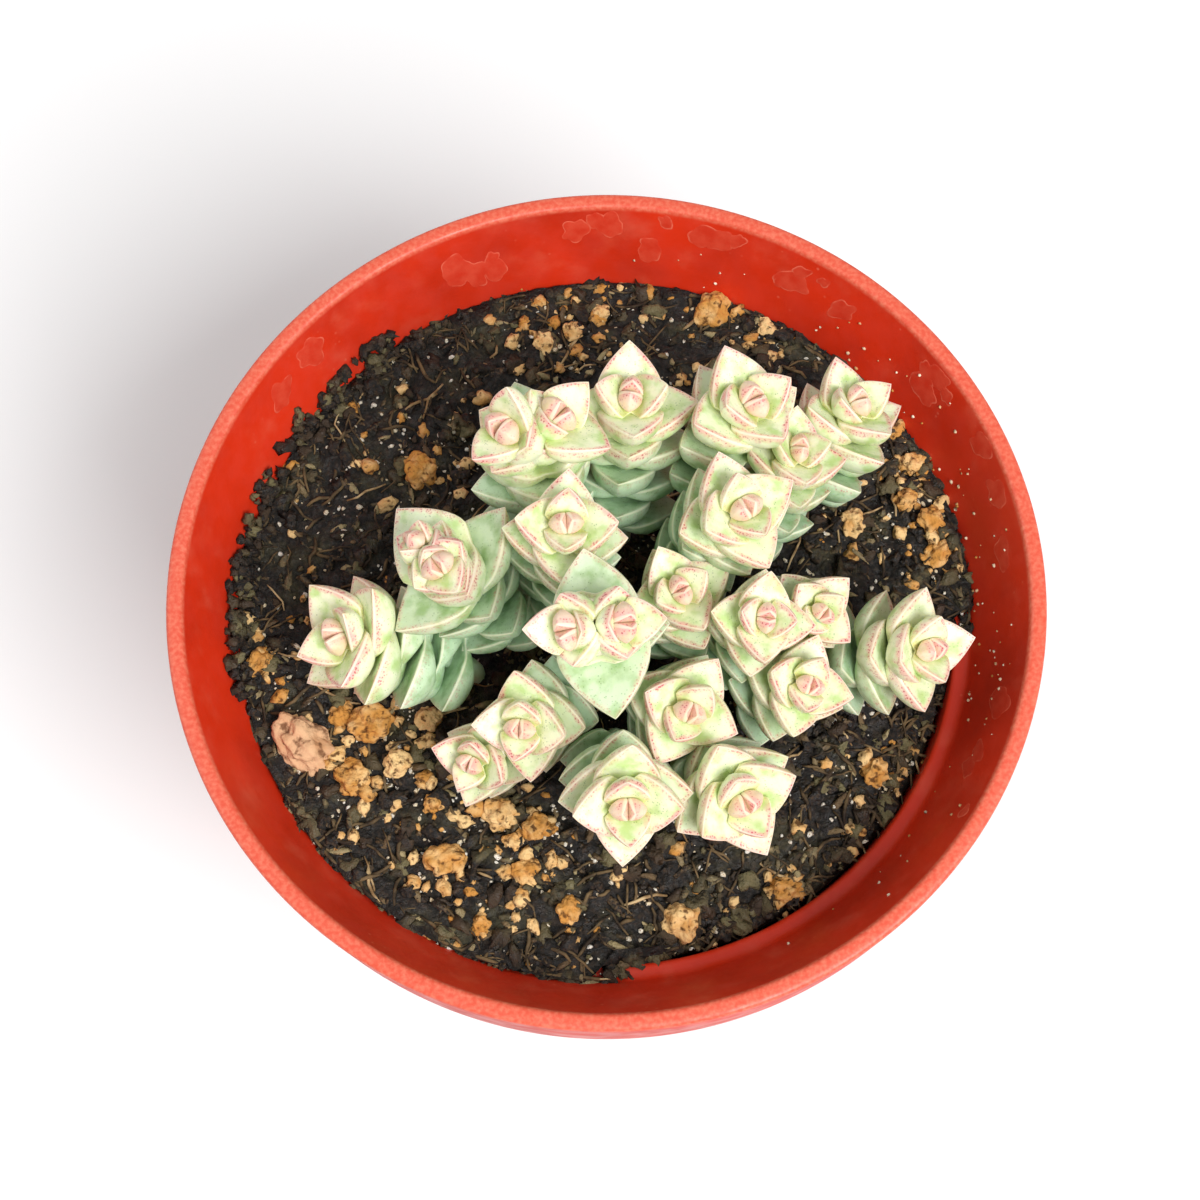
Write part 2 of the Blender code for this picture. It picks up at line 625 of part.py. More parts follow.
class Stem:
    """One leafy stem with one head, or forked near the top with two."""

    def __init__(self, name, foot, heads, rng):
        """Lay the stem's lines and set its leaf pairs along them."""
        self.name = name
        self.limbs = []
        bottom = Vector((foot[0], foot[1], HOLE_FLOOR_Z + GAP))
        crown = Vector((foot[0], foot[1], CROWN_Z))
        tips = [Vector(head[0]) for head in heads]
        middle = sum(tips, Vector()) / len(tips)
        whole = Path([bottom] + curved_path(crown, Vector((0, 0, 1)), middle, PATH_STEPS))
        if len(heads) == 1:
            self.limbs.append((whole, self.pairs_down(whole, 0, 0.0, heads[0][1], heads[0][2], rng)))
            return
        fork, direction = whole.at(FORK_BACK)
        lower = [p for p, back in zip(whole.points, whole.back) if back > FORK_BACK + TRUNK_END]
        trunk = Path(lower + [fork])
        spread = tips[1] - tips[0]
        turn = math.degrees(math.atan2(spread.y, spread.x)) + 90.0
        size = max(head[2] for head in heads)
        self.limbs.append((trunk, self.pairs_down(trunk, FINE_RANKS, FORK_BACK, turn, size, rng)))
        for head, tip in zip(heads, tips):
            branch = Path(curved_path(fork - direction * BRANCH_SINK, direction, tip, BRANCH_STEPS))
            pairs = self.pairs_down(branch, 0, 0.0, head[1], head[2], rng, FINE_RANKS)
            self.limbs.append((branch, pairs))

    def pairs_down(self, path, first_rank, raise_by, turn, size, rng, limit=None):
        """Pairs down a path, each a quarter turn from the one above, until the soil."""
        pairs = []
        rank = first_rank
        last = len(NODE_DEPTHS) - 1
        while limit is None or rank < limit:
            depth = NODE_DEPTHS[min(rank, last)] + OLD_SPACING * max(0, rank - last)
            depth = depth * (1.0 - DEPTH_GROWS + DEPTH_GROWS * size) - raise_by
            if depth > path.length - END_MARGIN or path.at(depth)[0].z < LOWEST_PAIR_Z:
                break
            jitter = rng.uniform(-PAIR_TURN_JITTER_DEG, PAIR_TURN_JITTER_DEG)
            growth = size
            if first_rank and rank < first_rank + 2:
                growth *= FORK_PAIR_GROWTH
            pairs.append(Pair(path, depth, rank, turn + jitter, growth))
            rank += 1
        return pairs

    def build(self, material):
        """Build each limb and join them into one solid."""
        solids = [add_object(self.name, stem_body(path, pairs)) for path, pairs in self.limbs]
        stem = solids[0]
        stem.name = self.name
        if len(solids) > 1:
            combine(stem, solids[1:], "UNION")
        finish_object(stem, material, LEAF_SHARP_DEG)
        return stem


def boxes_apart(one, other):
    """Whether two lists of points have boxes that do not meet."""
    for axis in range(3):
        if max(point[axis] for point in one) < min(point[axis] for point in other):
            return True
        if max(point[axis] for point in other) < min(point[axis] for point in one):
            return True
    return False


class Leaf:
    """One leaf of a pair, for finding what it crosses."""

    def __init__(self, stem, limb, pair, side):
        """Note where the leaf belongs and take its first shape."""
        self.stem = stem
        self.limb = limb
        self.pair = pair
        self.side = side
        self.renew()

    def renew(self):
        """Take the leaf's shape again after a change."""
        self.blade, _ = self.pair.test_tree(self.side, CLEARANCE, False)
        self.whole, self.points = self.pair.test_tree(self.side, CLEARANCE, True)

    def crosses(self, other):
        """Whether the leaf runs into another, whose root is left out on the same limb."""
        if boxes_apart(self.points, other.points):
            return False
        if self.stem == other.stem and self.limb == other.limb:
            return bool(self.blade.overlap(other.blade))
        return bool(self.whole.overlap(other.whole))

    def give_way(self, other):
        """Bend down under a leaf of the same limb, or shorten for any other; say if it moved."""
        if self.stem == other.stem and self.limb == other.limb:
            rises = self.pair.rises
            old = rises[self.side]
            rises[self.side] = max(math.radians(LOWEST_RISE_DEG), old - math.radians(BEND_DOWN_DEG))
            return rises[self.side] != old
        least = FORK_SHORTEST if self.stem == other.stem else SHORTEST
        shares = self.pair.shares
        if shares[self.side] <= least:
            return False
        shares[self.side] = max(least, shares[self.side] * SHORTEN)
        return True


class Core:
    """The bare core of a limb, for finding the leaves that run into it."""

    def __init__(self, stem, path, pairs):
        """Take a plain tube along the path up to the uppermost pair."""
        self.stem = stem
        self.limb = None
        upper = pairs[0].centre
        points = [point for point in path.points if point.z < upper.z] + [upper]
        tube = []
        faces = []
        for index, point in enumerate(points):
            tube += [point + polar(STEM_R, 90.0 * quarter) for quarter in range(4)]
            if index == 0:
                continue
            for quarter in range(4):
                low = 4 * index - 4 + quarter
                after = 4 * index - 4 + (quarter + 1) % 4
                faces += [(low, after, after + 4), (low, after + 4, low + 4)]
        self.points = tube
        self.whole = BVHTree.FromPolygons(tube, faces)


def clear_leaves(stems):
    """Shorten or lower the older of any two leaves that would cross."""
    leaves = []
    cores = []
    for number, stem in enumerate(stems):
        for limb, (path, pairs) in enumerate(stem.limbs):
            cores.append(Core(number, path, pairs))
            leaves += [Leaf(number, limb, pair, side) for pair in pairs for side in (0, 1)]
    for _ in range(CLEAR_ROUNDS):
        moved = set()
        for index, leaf in enumerate(leaves):
            for core in cores:
                if core.stem != leaf.stem and leaf.crosses(core) and leaf.give_way(core):
                    moved.add(index)
            for second in range(index + 1, len(leaves)):
                other = leaves[second]
                if not leaf.crosses(other):
                    continue
                order = (second, index) if other.pair.rank >= leaf.pair.rank else (index, second)
                for giver, keeper in (order, order[::-1]):
                    if leaves[giver].give_way(leaves[keeper]):
                        moved.add(giver)
                        break
        for index in moved:
            leaves[index].renew()
        if not moved:
            break


def make_plant(material):
    """Every leafy stem of the clump."""
    rng = Random(PAIR_SEED)
    stems = [Stem(name, foot, heads, rng) for name, foot, heads in STEMS]
    clear_leaves(stems)
    return [stem.build(material) for stem in stems]


def main():
    """Build the pot, the soil and the stems."""
    clear_scene()
    make_pot(make_material(*RED_PLASTIC))
    make_soil(make_material(*POTTING_SOIL))
    make_plant(make_material(*LEAF_GREEN))


main()
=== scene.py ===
"""The looks of a potted crassula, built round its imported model.

The pot, the soil and every leafy stem get finer pieces that keep their form. Sizes are in
millimetres, and each finished mesh is scaled to metres. The photo's camera looks along +Y.
"""

import logging
import math
from dataclasses import dataclass, field
from enum import Enum
from random import Random

import bmesh
import bpy
from mathutils import Matrix, Vector, noise
from mathutils.bvhtree import BVHTree


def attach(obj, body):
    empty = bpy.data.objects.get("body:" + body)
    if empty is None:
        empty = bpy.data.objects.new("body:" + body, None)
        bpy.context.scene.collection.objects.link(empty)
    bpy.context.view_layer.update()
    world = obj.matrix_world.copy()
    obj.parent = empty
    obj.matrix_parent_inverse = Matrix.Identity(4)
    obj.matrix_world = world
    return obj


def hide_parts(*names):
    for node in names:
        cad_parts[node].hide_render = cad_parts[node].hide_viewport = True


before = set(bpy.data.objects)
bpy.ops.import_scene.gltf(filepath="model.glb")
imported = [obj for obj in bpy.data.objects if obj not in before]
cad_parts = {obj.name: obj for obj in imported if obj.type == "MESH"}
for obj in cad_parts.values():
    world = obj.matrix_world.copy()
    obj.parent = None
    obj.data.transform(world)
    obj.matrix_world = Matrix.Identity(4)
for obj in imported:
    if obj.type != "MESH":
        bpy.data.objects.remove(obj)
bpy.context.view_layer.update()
LOG = logging.getLogger("potted_crassula")
MM = 0.001
BODY = "root"
Point = tuple[float, float]
Colour = tuple[float, float, float, float]


class Slot(Enum):
    """The names of three material slots."""

    POT = "pot"
    SOIL = "soil"
    LEAF = "leaf"


class Rank(Enum):
    """Where a leaf pair's age changes its shape."""

    BUD = 0
    FINE_UNTIL = 4


def paint(red: int, green: int, blue: int) -> Colour:
    """Turn a screen colour of 0 to 255 into the linear colour of a shader.

    Args:
        red: The red share.
        green: The green share.
        blue: The blue share.

    Returns:
        The linear colour with full alpha.
    """
    shares = []
    for share in (red / 255.0, green / 255.0, blue / 255.0):
        shares.append(share / 12.92 if share <= 0.04045 else ((share + 0.055) / 1.055) ** 2.4)
    return (shares[0], shares[1], shares[2], 1.0)


def polar(radius: float, degrees: float, z: float = 0.0) -> Vector:
    """Give the point at a radius and a compass angle round Z."""
    angle = math.radians(degrees)
    return Vector((radius * math.cos(angle), radius * math.sin(angle), z))


def eased(share: float) -> float:
    """Hold a share between none and one, and ease it at both ends."""
    share = min(1.0, max(0.0, share))
    return share * share * (3.0 - 2.0 * share)


def finish_piece(name: str, bm: bmesh.types.BMesh, material: bpy.types.Material,
                 replaced: tuple[str, ...] = (), sharp_deg: float = 180.0) -> bpy.types.Object:
    """Make a finished piece of a bmesh in millimetres, on the part's one body.

    Args:
        name: The piece's name.
        bm: The shape, which is used up.
        material: The finish.
        replaced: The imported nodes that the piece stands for.
        sharp_deg: The angle from which an edge is drawn sharp.

    Returns:
        The piece.
    """
    bmesh.ops.recalc_face_normals(bm, faces=bm.faces)
    bmesh.ops.transform(bm, matrix=Matrix.Scale(MM, 4), verts=bm.verts)
    mesh = bpy.data.meshes.new(name)
    bm.to_mesh(mesh)
    bm.free()
    mesh.materials.append(material)
    mesh.shade_smooth()
    if sharp_deg < 180.0:
        mesh.set_sharp_from_angle(angle=math.radians(sharp_deg))
    piece = bpy.data.objects.new(name, mesh)
    bpy.context.scene.collection.objects.link(piece)
    if replaced:
        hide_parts(*replaced)
    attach(piece, BODY)
    LOG.info("%s: %d faces", name, len(mesh.polygons))
    return piece


def repeated(bm: bmesh.types.BMesh, count: int) -> list[list[bmesh.types.BMVert]]:
    """Repeat the one shape in a bmesh until it is there as often as wanted.

    Args:
        bm: The bmesh, with the shape in it once.
        count: How many of the shape there are at the end.

    Returns:
        The vertices of each one.
    """
    verts, edges, faces = len(bm.verts), len(bm.edges), len(bm.faces)
    made = 1
    while made < count:
        more = min(made, count - made)
        geom = bm.verts[:][:more * verts] + bm.edges[:][:more * edges] + bm.faces[:][:more * faces]
        bmesh.ops.duplicate(bm, geom=geom)
        made += more
    every = bm.verts[:]
    return [every[start:start + verts] for start in range(0, count * verts, verts)]


class Sheet:
    """One material's node tree, with short calls for the nodes that the finishes share."""

    def __init__(self, name: str) -> None:
        """Start a material whose shader is a Principled one."""
        self.material = bpy.data.materials.new(name)
        self.material.use_nodes = True
        self.tree = self.material.node_tree
        self.shader = self.tree.nodes["Principled BSDF"]

    def feed(self, target: bpy.types.NodeSocket, value: object) -> None:
        """Link a socket to the target, or set the target's own value."""
        if isinstance(value, bpy.types.NodeSocket):
            self.tree.links.new(value, target)
        else:
            target.default_value = value

    def dress(self, **sockets: object) -> None:
        """Feed the shader's sockets, named with _ for a space."""
        for name, value in sockets.items():
            self.feed(self.shader.inputs[name.replace("_", " ")], value)

    def node(self, kind: str, **settings: object) -> bpy.types.Node:
        """Add a node of a kind with its settings."""
        node = self.tree.nodes.new("ShaderNode" + kind)
        for name, value in settings.items():
            setattr(node, name, value)
        return node

    def place(self) -> bpy.types.NodeSocket:
        """Give the point's own place on the object, in metres."""
        return self.node("TexCoord").outputs["Object"]

    def height(self, place: bpy.types.NodeSocket) -> bpy.types.NodeSocket:
        """Give the Z of a place."""
        node = self.node("SeparateXYZ")
        self.feed(node.inputs[0], place)
        return node.outputs["Z"]

    def value(self, name: str) -> bpy.types.NodeSocket:
        """Give a number that the mesh carries at each point."""
        return self.node("Attribute", attribute_name=name).outputs["Fac"]

    def clouds(self, place: bpy.types.NodeSocket, size: float, detail: float = 2.0) -> bpy.types.NodeSocket:
        """Give soft noise.

        Args:
            place: Where the noise is read.
            size: The size of its lumps in millimetres.
            detail: How many finer layers it has.

        Returns:
            The noise, about 0.2 to 0.8.
        """
        node = self.node("TexNoise")
        self.feed(node.inputs["Vector"], place)
        node.inputs["Scale"].default_value = 1.0 / (size * MM)
        node.inputs["Detail"].default_value = detail
        return node.outputs["Fac"]

    def spots(self, place: bpy.types.NodeSocket, size: float, low: float, high: float) -> bpy.types.NodeSocket:
        """Give scattered round spots.

        Args:
            place: Where the spots are read.
            size: The size of the cells, one spot in each, in millimetres.
            low: The distance from a cell's middle at which its spot is full.
            high: The distance at which it has gone.

        Returns:
            One inside a spot, none outside.
        """
        node = self.node("TexVoronoi")
        self.feed(node.inputs["Vector"], place)
        node.inputs["Scale"].default_value = 1.0 / (size * MM)
        return self.span(node.outputs["Distance"], high, low)

    def span(self, value: bpy.types.NodeSocket, low: float, high: float, to_low: float = 0.0,
             to_high: float = 1.0) -> bpy.types.NodeSocket:
        """Ease a value from one range to another, held at both ends.

        Args:
            value: The value.
            low: Where the result is to_low.
            high: Where the result is to_high.
            to_low: The first result.
            to_high: The second result.

        Returns:
            The eased value.
        """
        node = self.node("MapRange", interpolation_type="SMOOTHSTEP")
        for socket, given in zip(node.inputs, (value, low, high, to_low, to_high)):
            self.feed(socket, given)
        return node.outputs["Result"]

    def sum(self, operation: str, first: object, second: object) -> bpy.types.NodeSocket:
        """Combine two values by a named operation of the Math node."""
        node = self.node("Math", operation=operation)
        self.feed(node.inputs[0], first)
        self.feed(node.inputs[1], second)
        return node.outputs[0]

    def times(self, *values: object) -> bpy.types.NodeSocket:
        """Multiply values together."""
        product = values[0]
        for value in values[1:]:
            product = self.sum("MULTIPLY", product, value)
        return product

    def blend(self, share: object, first: object, second: object) -> bpy.types.NodeSocket:
        """Mix two colours, with none of the second at a share of 0."""
        node = self.node("Mix", data_type="RGBA")
        for index, given in zip((0, 6, 7), (share, first, second)):
            self.feed(node.inputs[index], given)
        return node.outputs[2]

    def relief(self, height: bpy.types.NodeSocket, depth: float, strength: float = 1.0,
               under: bpy.types.NodeSocket | None = None) -> bpy.types.NodeSocket:
        """Bump the surface.

        Args:
            height: The height map, from 0 to 1.
            depth: The height of 1 in millimetres.
            strength: How much of it shows.
            under: A bump that this one lies on.

        Returns:
            The normal.
        """
        node = self.node("Bump")
        self.feed(node.inputs["Height"], height)
        node.inputs["Distance"].default_value = depth * MM
        node.inputs["Strength"].default_value = strength
        if under is not None:
            self.feed(node.inputs["Normal"], under)
        return node.outputs["Normal"]


@dataclass(frozen=True)
class PotFinish:
    """Satin orange-red moulded plastic, paler on the top of the lip, and dusty."""

    red: Colour = paint(208, 46, 16)
    deep: Colour = paint(184, 38, 12)
    lip: Colour = paint(212, 78, 54)
    dust: Colour = paint(222, 112, 86)
    lip_from: float = 79.2
    lip_full: float = 79.7
    roughness: float = 0.42

    def material(self) -> bpy.types.Material:
        """Make the plastic."""
        sheet = Sheet("pot_plastic")
        place = sheet.place()
        colour = sheet.blend(sheet.span(sheet.clouds(place, 14.0, 4.0), 0.35, 0.7), self.red, self.deep)
        scuffs = sheet.times(sheet.spots(place, 1.6, 0.05, 0.16), sheet.span(sheet.clouds(place, 9.0), 0.5, 0.7))
        colour = sheet.blend(sheet.times(scuffs, 0.5), colour, self.dust)
        bloom = sheet.times(sheet.span(sheet.clouds(place, 5.0, 5.0), 0.5, 0.8), 0.25)
        colour = sheet.blend(bloom, colour, self.dust)
        # The top of the lip is given a paler colour, grained with the dust colour.
        top = sheet.span(sheet.height(place), self.lip_from * MM, self.lip_full * MM)
        grain = sheet.clouds(place, 0.5, 3.0)
        lip = sheet.blend(sheet.span(grain, 0.3, 0.75), self.lip, self.dust)
        colour = sheet.blend(top, colour, lip)
        rough = sheet.span(sheet.clouds(place, 3.0, 4.0), 0.3, 0.7, self.roughness - 0.06, self.roughness + 0.14)
        normal = sheet.relief(sheet.clouds(place, 0.9, 3.0), 0.05, 0.5)
        normal = sheet.relief(sheet.clouds(place, 0.16, 1.0), 0.01, 0.5, normal)
        sheet.dress(Base_Color=colour, Roughness=rough, Normal=normal, Specular_IOR_Level=0.45)
        return sheet.material


@dataclass(frozen=True)
class WaterMarkFinish:
    """A dried film of hard water on the plastic, paler along its edge."""

    film: Colour = paint(208, 66, 42)
    outline: Colour = paint(220, 100, 76)
    plastic: Colour = paint(200, 46, 20)

    def material(self) -> bpy.types.Material:
        """Make the film."""
        sheet = Sheet("water_mark")
        place = sheet.place()
        rim = sheet.value("rim")
        patchy = sheet.span(sheet.clouds(place, 1.8, 4.0), 0.3, 0.7)
        colour = sheet.blend(patchy, self.plastic, self.film)
        line = sheet.times(sheet.span(rim, 0.22, 0.05), sheet.span(sheet.clouds(place, 1.6), 0.4, 0.65))
        colour = sheet.blend(line, colour, self.outline)
        normal = sheet.relief(sheet.clouds(place, 0.5, 3.0), 0.04, 0.5)
        sheet.dress(Base_Color=colour, Roughness=0.5, Normal=normal)
        return sheet.material


@dataclass(frozen=True)
class EarthFinish:
    """Damp compost: near-black crumbs, olive and brown where fibre shows."""

    name: str
    dark: Colour = paint(14, 11, 8)
    brown: Colour = paint(46, 35, 24)
    olive: Colour = paint(70, 66, 42)
    lump: float = 0.6

    def material(self) -> bpy.types.Material:
        """Make the compost."""
        sheet = Sheet(self.name)
        place = sheet.place()
        colour = sheet.blend(sheet.span(sheet.clouds(place, self.lump, 4.0), 0.42, 0.72), self.dark, self.brown)
        moss = sheet.times(sheet.span(sheet.clouds(place, 5.0, 3.0), 0.5, 0.7), sheet.clouds(place, 0.6, 3.0))
        colour = sheet.blend(moss, colour, self.olive)
        tone = sheet.value("tone")
        colour = sheet.blend(sheet.span(tone, 0.45, 0.75, 0.0, 0.85), colour, self.brown)
        colour = sheet.blend(sheet.span(tone, 0.72, 1.0, 0.0, 0.9), colour, self.olive)
        normal = sheet.relief(sheet.clouds(place, 0.4, 5.0), 0.4, 1.0)
        rough = sheet.span(sheet.clouds(place, 1.0, 3.0), 0.35, 0.65, 0.45, 0.9)
        sheet.dress(Base_Color=colour, Roughness=rough, Normal=normal, Specular_IOR_Level=0.5)
        return sheet.material


@dataclass(frozen=True)
class GritFinish:
    """Porous grit: a pale skin, a warmer stain and painted shade in its pits."""

    name: str
    pale: Colour = paint(232, 196, 138)
    warm: Colour = paint(196, 138, 66)
    pit_shade: Colour = paint(84, 52, 24)
    grain: float = 1.2

    def material(self) -> bpy.types.Material:
        """Make the grit."""
        sheet = Sheet(self.name)
        place = sheet.place()
        tone = sheet.value("tone")
        stain = sheet.sum("ADD", sheet.clouds(place, self.grain * 1.6, 3.0), sheet.times(tone, 0.4))
        colour = sheet.blend(sheet.span(stain, 0.45, 0.95), self.pale, self.warm)
        pits = sheet.clouds(place, self.grain * 0.7, 5.0)
        # Painted shade: the skin is darkened where the bump's pits are deepest.
        colour = sheet.blend(sheet.span(pits, 0.47, 0.33, 0.0, 0.9), colour, self.pit_shade)
        normal = sheet.relief(pits, 0.6, 1.0)
        sheet.dress(Base_Color=colour, Roughness=0.9, Normal=normal, Specular_IOR_Level=0.25)
        return sheet.material


@dataclass(frozen=True)
class FibreFinish:
    """Dry plant fibre, straw or bark, streaked along itself."""

    name: str
    light: Colour = paint(150, 124, 84)
    dark: Colour = paint(62, 46, 28)

    def material(self) -> bpy.types.Material:
        """Make the fibre."""
        sheet = Sheet(self.name)
        place = sheet.place()
        share = sheet.span(sheet.clouds(place, 2.2, 4.0), 0.35, 0.68)
        colour = sheet.blend(share, self.dark, self.light)
        normal = sheet.relief(sheet.clouds(place, 0.2, 2.0), 0.1, 0.6)
        sheet.dress(Base_Color=colour, Roughness=0.75, Normal=normal, Specular_IOR_Level=0.3)
        return sheet.material


@dataclass(frozen=True)
class LeafFinish:
    """Waxy leaf: cream and green, older grey-green, with a pink margin, red dots, a pale edge and painted shade at the
    base.
    """

    cream: Colour = paint(238, 242, 206)
    green: Colour = paint(190, 214, 138)
    old: Colour = paint(190, 216, 182)
    old_dark: Colour = paint(140, 176, 128)
    crease_tint_and_shade: Colour = paint(206, 220, 112)
    blush: Colour = paint(236, 176, 166)
    dot: Colour = paint(184, 74, 84)
    edge: Colour = paint(246, 240, 214)
    speck: Colour = paint(96, 130, 74)

    def body(self, sheet: Sheet, place: bpy.types.NodeSocket, along: bpy.types.NodeSocket,
             age: bpy.types.NodeSocket) -> bpy.types.NodeSocket:
        """Colour the blade inside its margin, with painted shade at the base of young leaves.

        Args:
            sheet: The material.
            place: The point's place.
            along: How far the point is from the stem, 1 at the leaf's tip.
            age: The leaf's age, 1 at the oldest.

        Returns:
            The colour.
        """
        mottle = sheet.span(sheet.clouds(place, 2.2, 4.0), 0.4, 0.72)
        young = sheet.blend(mottle, self.cream, self.green)
        older = sheet.blend(mottle, self.old, self.old_dark)
        colour = sheet.blend(sheet.span(age, 0.3, 0.85), young, older)
        # Painted shade: young leaves are darkened and tinted yellow-green towards the base, as shade in the crease.
        crease_shade_mask = sheet.times(sheet.span(along, 0.5, 0.12), sheet.span(age, 0.75, 0.1), 0.7)
        colour = sheet.blend(crease_shade_mask, colour, self.crease_tint_and_shade)
        specks = sheet.times(sheet.spots(place, 0.36, 0.1, 0.3), sheet.span(sheet.clouds(place, 1.6), 0.42, 0.6))
        return sheet.blend(sheet.times(specks, 0.55), colour, self.speck)

    def material(self) -> bpy.types.Material:
        """Make the leaf."""
        sheet = Sheet("crassula_leaf")
        place = sheet.place()
        along, age = sheet.value("along"), sheet.value("age")
        rim, keel = sheet.value("rim"), sheet.value("keel")
        colour = self.body(sheet, place, along, age)
        waver = sheet.sum("SUBTRACT", sheet.clouds(place, 0.9, 3.0), 0.5)
        line = sheet.sum("MINIMUM", rim, sheet.sum("ADD", keel, 0.3))
        line = sheet.sum("ADD", line, sheet.times(waver, 1.5))
        youth = sheet.span(age, 0.9, 0.2, 0.12, 1.0)
        tip = sheet.span(along, 0.1, 0.8, 0.25, 1.0)
        patchy = sheet.span(sheet.clouds(place, 3.5, 2.0), 0.32, 0.62, 0.35, 1.0)
        blush = sheet.times(sheet.span(line, 1.0, 0.1), youth, tip, patchy)
        colour = sheet.blend(blush, colour, self.blush)
        bud = sheet.times(sheet.span(age, 0.11, 0.02), 0.55)
        colour = sheet.blend(bud, colour, self.blush)
        dots = sheet.times(sheet.spots(place, 0.3, 0.28, 0.48), sheet.span(line, 0.75, 0.35),
                           sheet.span(rim, 0.08, 0.22), tip, patchy, sheet.span(age, 1.0, 0.35, 0.35, 0.85))
        colour = sheet.blend(dots, colour, self.dot)
        colour = sheet.blend(sheet.span(rim, 0.14, 0.03, 0.0, 0.5), colour, self.edge)
        normal = sheet.relief(sheet.clouds(place, 0.7, 4.0), 0.14, 0.6)
        normal = sheet.relief(sheet.clouds(place, 0.15, 1.0), 0.02, 0.6, normal)
        rough = sheet.span(sheet.clouds(place, 0.8, 3.0), 0.3, 0.7, 0.36, 0.55)
        sheet.dress(Base_Color=colour, Roughness=rough, Normal=normal, Specular_IOR_Level=0.45,
                    Subsurface_Weight=0.25, Subsurface_Radius=(1.0, 0.9, 0.5), Subsurface_Scale=0.001)
        return sheet.material


@dataclass
class Studio:
    """The photo's camera, a pale floor and soft light."""

    aim: tuple[float, float, float] = (-0.689, -1.742, 80.0)
    look_down_deg: float = 71.83
    distance: float = 239.93
    roll_deg: float = -1.535
    lens: float = 63.6
    floor_side: float = 4000.0
    floor_colour: Colour = (0.9, 0.9, 0.9, 1.0)

    def build(self) -> None:
        """Set up the camera, the floor, the sky and the lamps."""
        self.camera()
        self.floor()
        self.sky()
        self.lamp("key", (330.0, -420.0, 720.0), 420.0, 8.0)
        self.lamp("fill", (-620.0, 150.0, 620.0), 700.0, 2.0)
        bpy.context.scene.view_settings.view_transform = "Standard"

    def camera(self) -> None:
        """Place the camera at the photo's viewing angle."""
        down = math.radians(self.look_down_deg)
        roll = math.radians(self.roll_deg)
        back = Vector((0.0, -math.cos(down), math.sin(down)))
        level = Vector((1.0, 0.0, 0.0))
        upright = back.cross(level)
        right = level * math.cos(roll) + upright * math.sin(roll)
        up = upright * math.cos(roll) - level * math.sin(roll)
        matrix = Matrix((right, up, back)).transposed().to_4x4()
        matrix.translation = (Vector(self.aim) + back * self.distance) * MM
        data = bpy.data.cameras.new("photo_camera")
        data.sensor_width = 36.0
        data.lens = self.lens
        data.clip_start = 0.01
        data.clip_end = 10.0
        camera = bpy.data.objects.new("photo_camera", data)
        camera.matrix_world = matrix
        bpy.context.scene.collection.objects.link(camera)
        bpy.context.scene.camera = camera

    def floor(self) -> None:
        """Lay a plain pale floor."""
        bm = bmesh.new()
        bmesh.ops.create_grid(bm, x_segments=1, y_segments=1, size=self.floor_side * MM / 2)
        mesh = bpy.data.meshes.new("floor")
        bm.to_mesh(mesh)
        bm.free()
        sheet = Sheet("floor")
        sheet.dress(Base_Color=self.floor_colour, Roughness=0.8)
        mesh.materials.append(sheet.material)
        floor = bpy.data.objects.new("floor", mesh)
        bpy.context.scene.collection.objects.link(floor)

    def sky(self) -> None:
        """Light everything evenly from a pale sky."""
        world = bpy.data.worlds.new("studio")
        world.use_nodes = True
        background = world.node_tree.nodes["Background"]
        background.inputs["Color"].default_value = (1.0, 1.0, 1.0, 1.0)
        background.inputs["Strength"].default_value = 0.46
        bpy.context.scene.world = world

    def lamp(self, name: str, at: tuple[float, float, float], side: float, power: float) -> None:
        """Hang a soft square lamp that faces the plant.

        Args:
            name: The lamp's name.
            at: Its place in millimetres.
            side: Its side in millimetres.
            power: Its power in watts.
        """
        data = bpy.data.lights.new(name, "AREA")
        data.size = side * MM
        data.energy = power
        lamp = bpy.data.objects.new(name, data)
        towards = Vector(self.aim) - Vector(at)
        lamp.matrix_world = Matrix.Translation(Vector(at) * MM) @ towards.to_track_quat("-Z", "Y").to_matrix().to_4x4()
        bpy.context.scene.collection.objects.link(lamp)


@dataclass
class WaterMark:
    """One dried drop mark on the pot's inner wall."""

    turn_deg: float
    z: float
    half_width: float
    half_height: float
    slant_deg: float


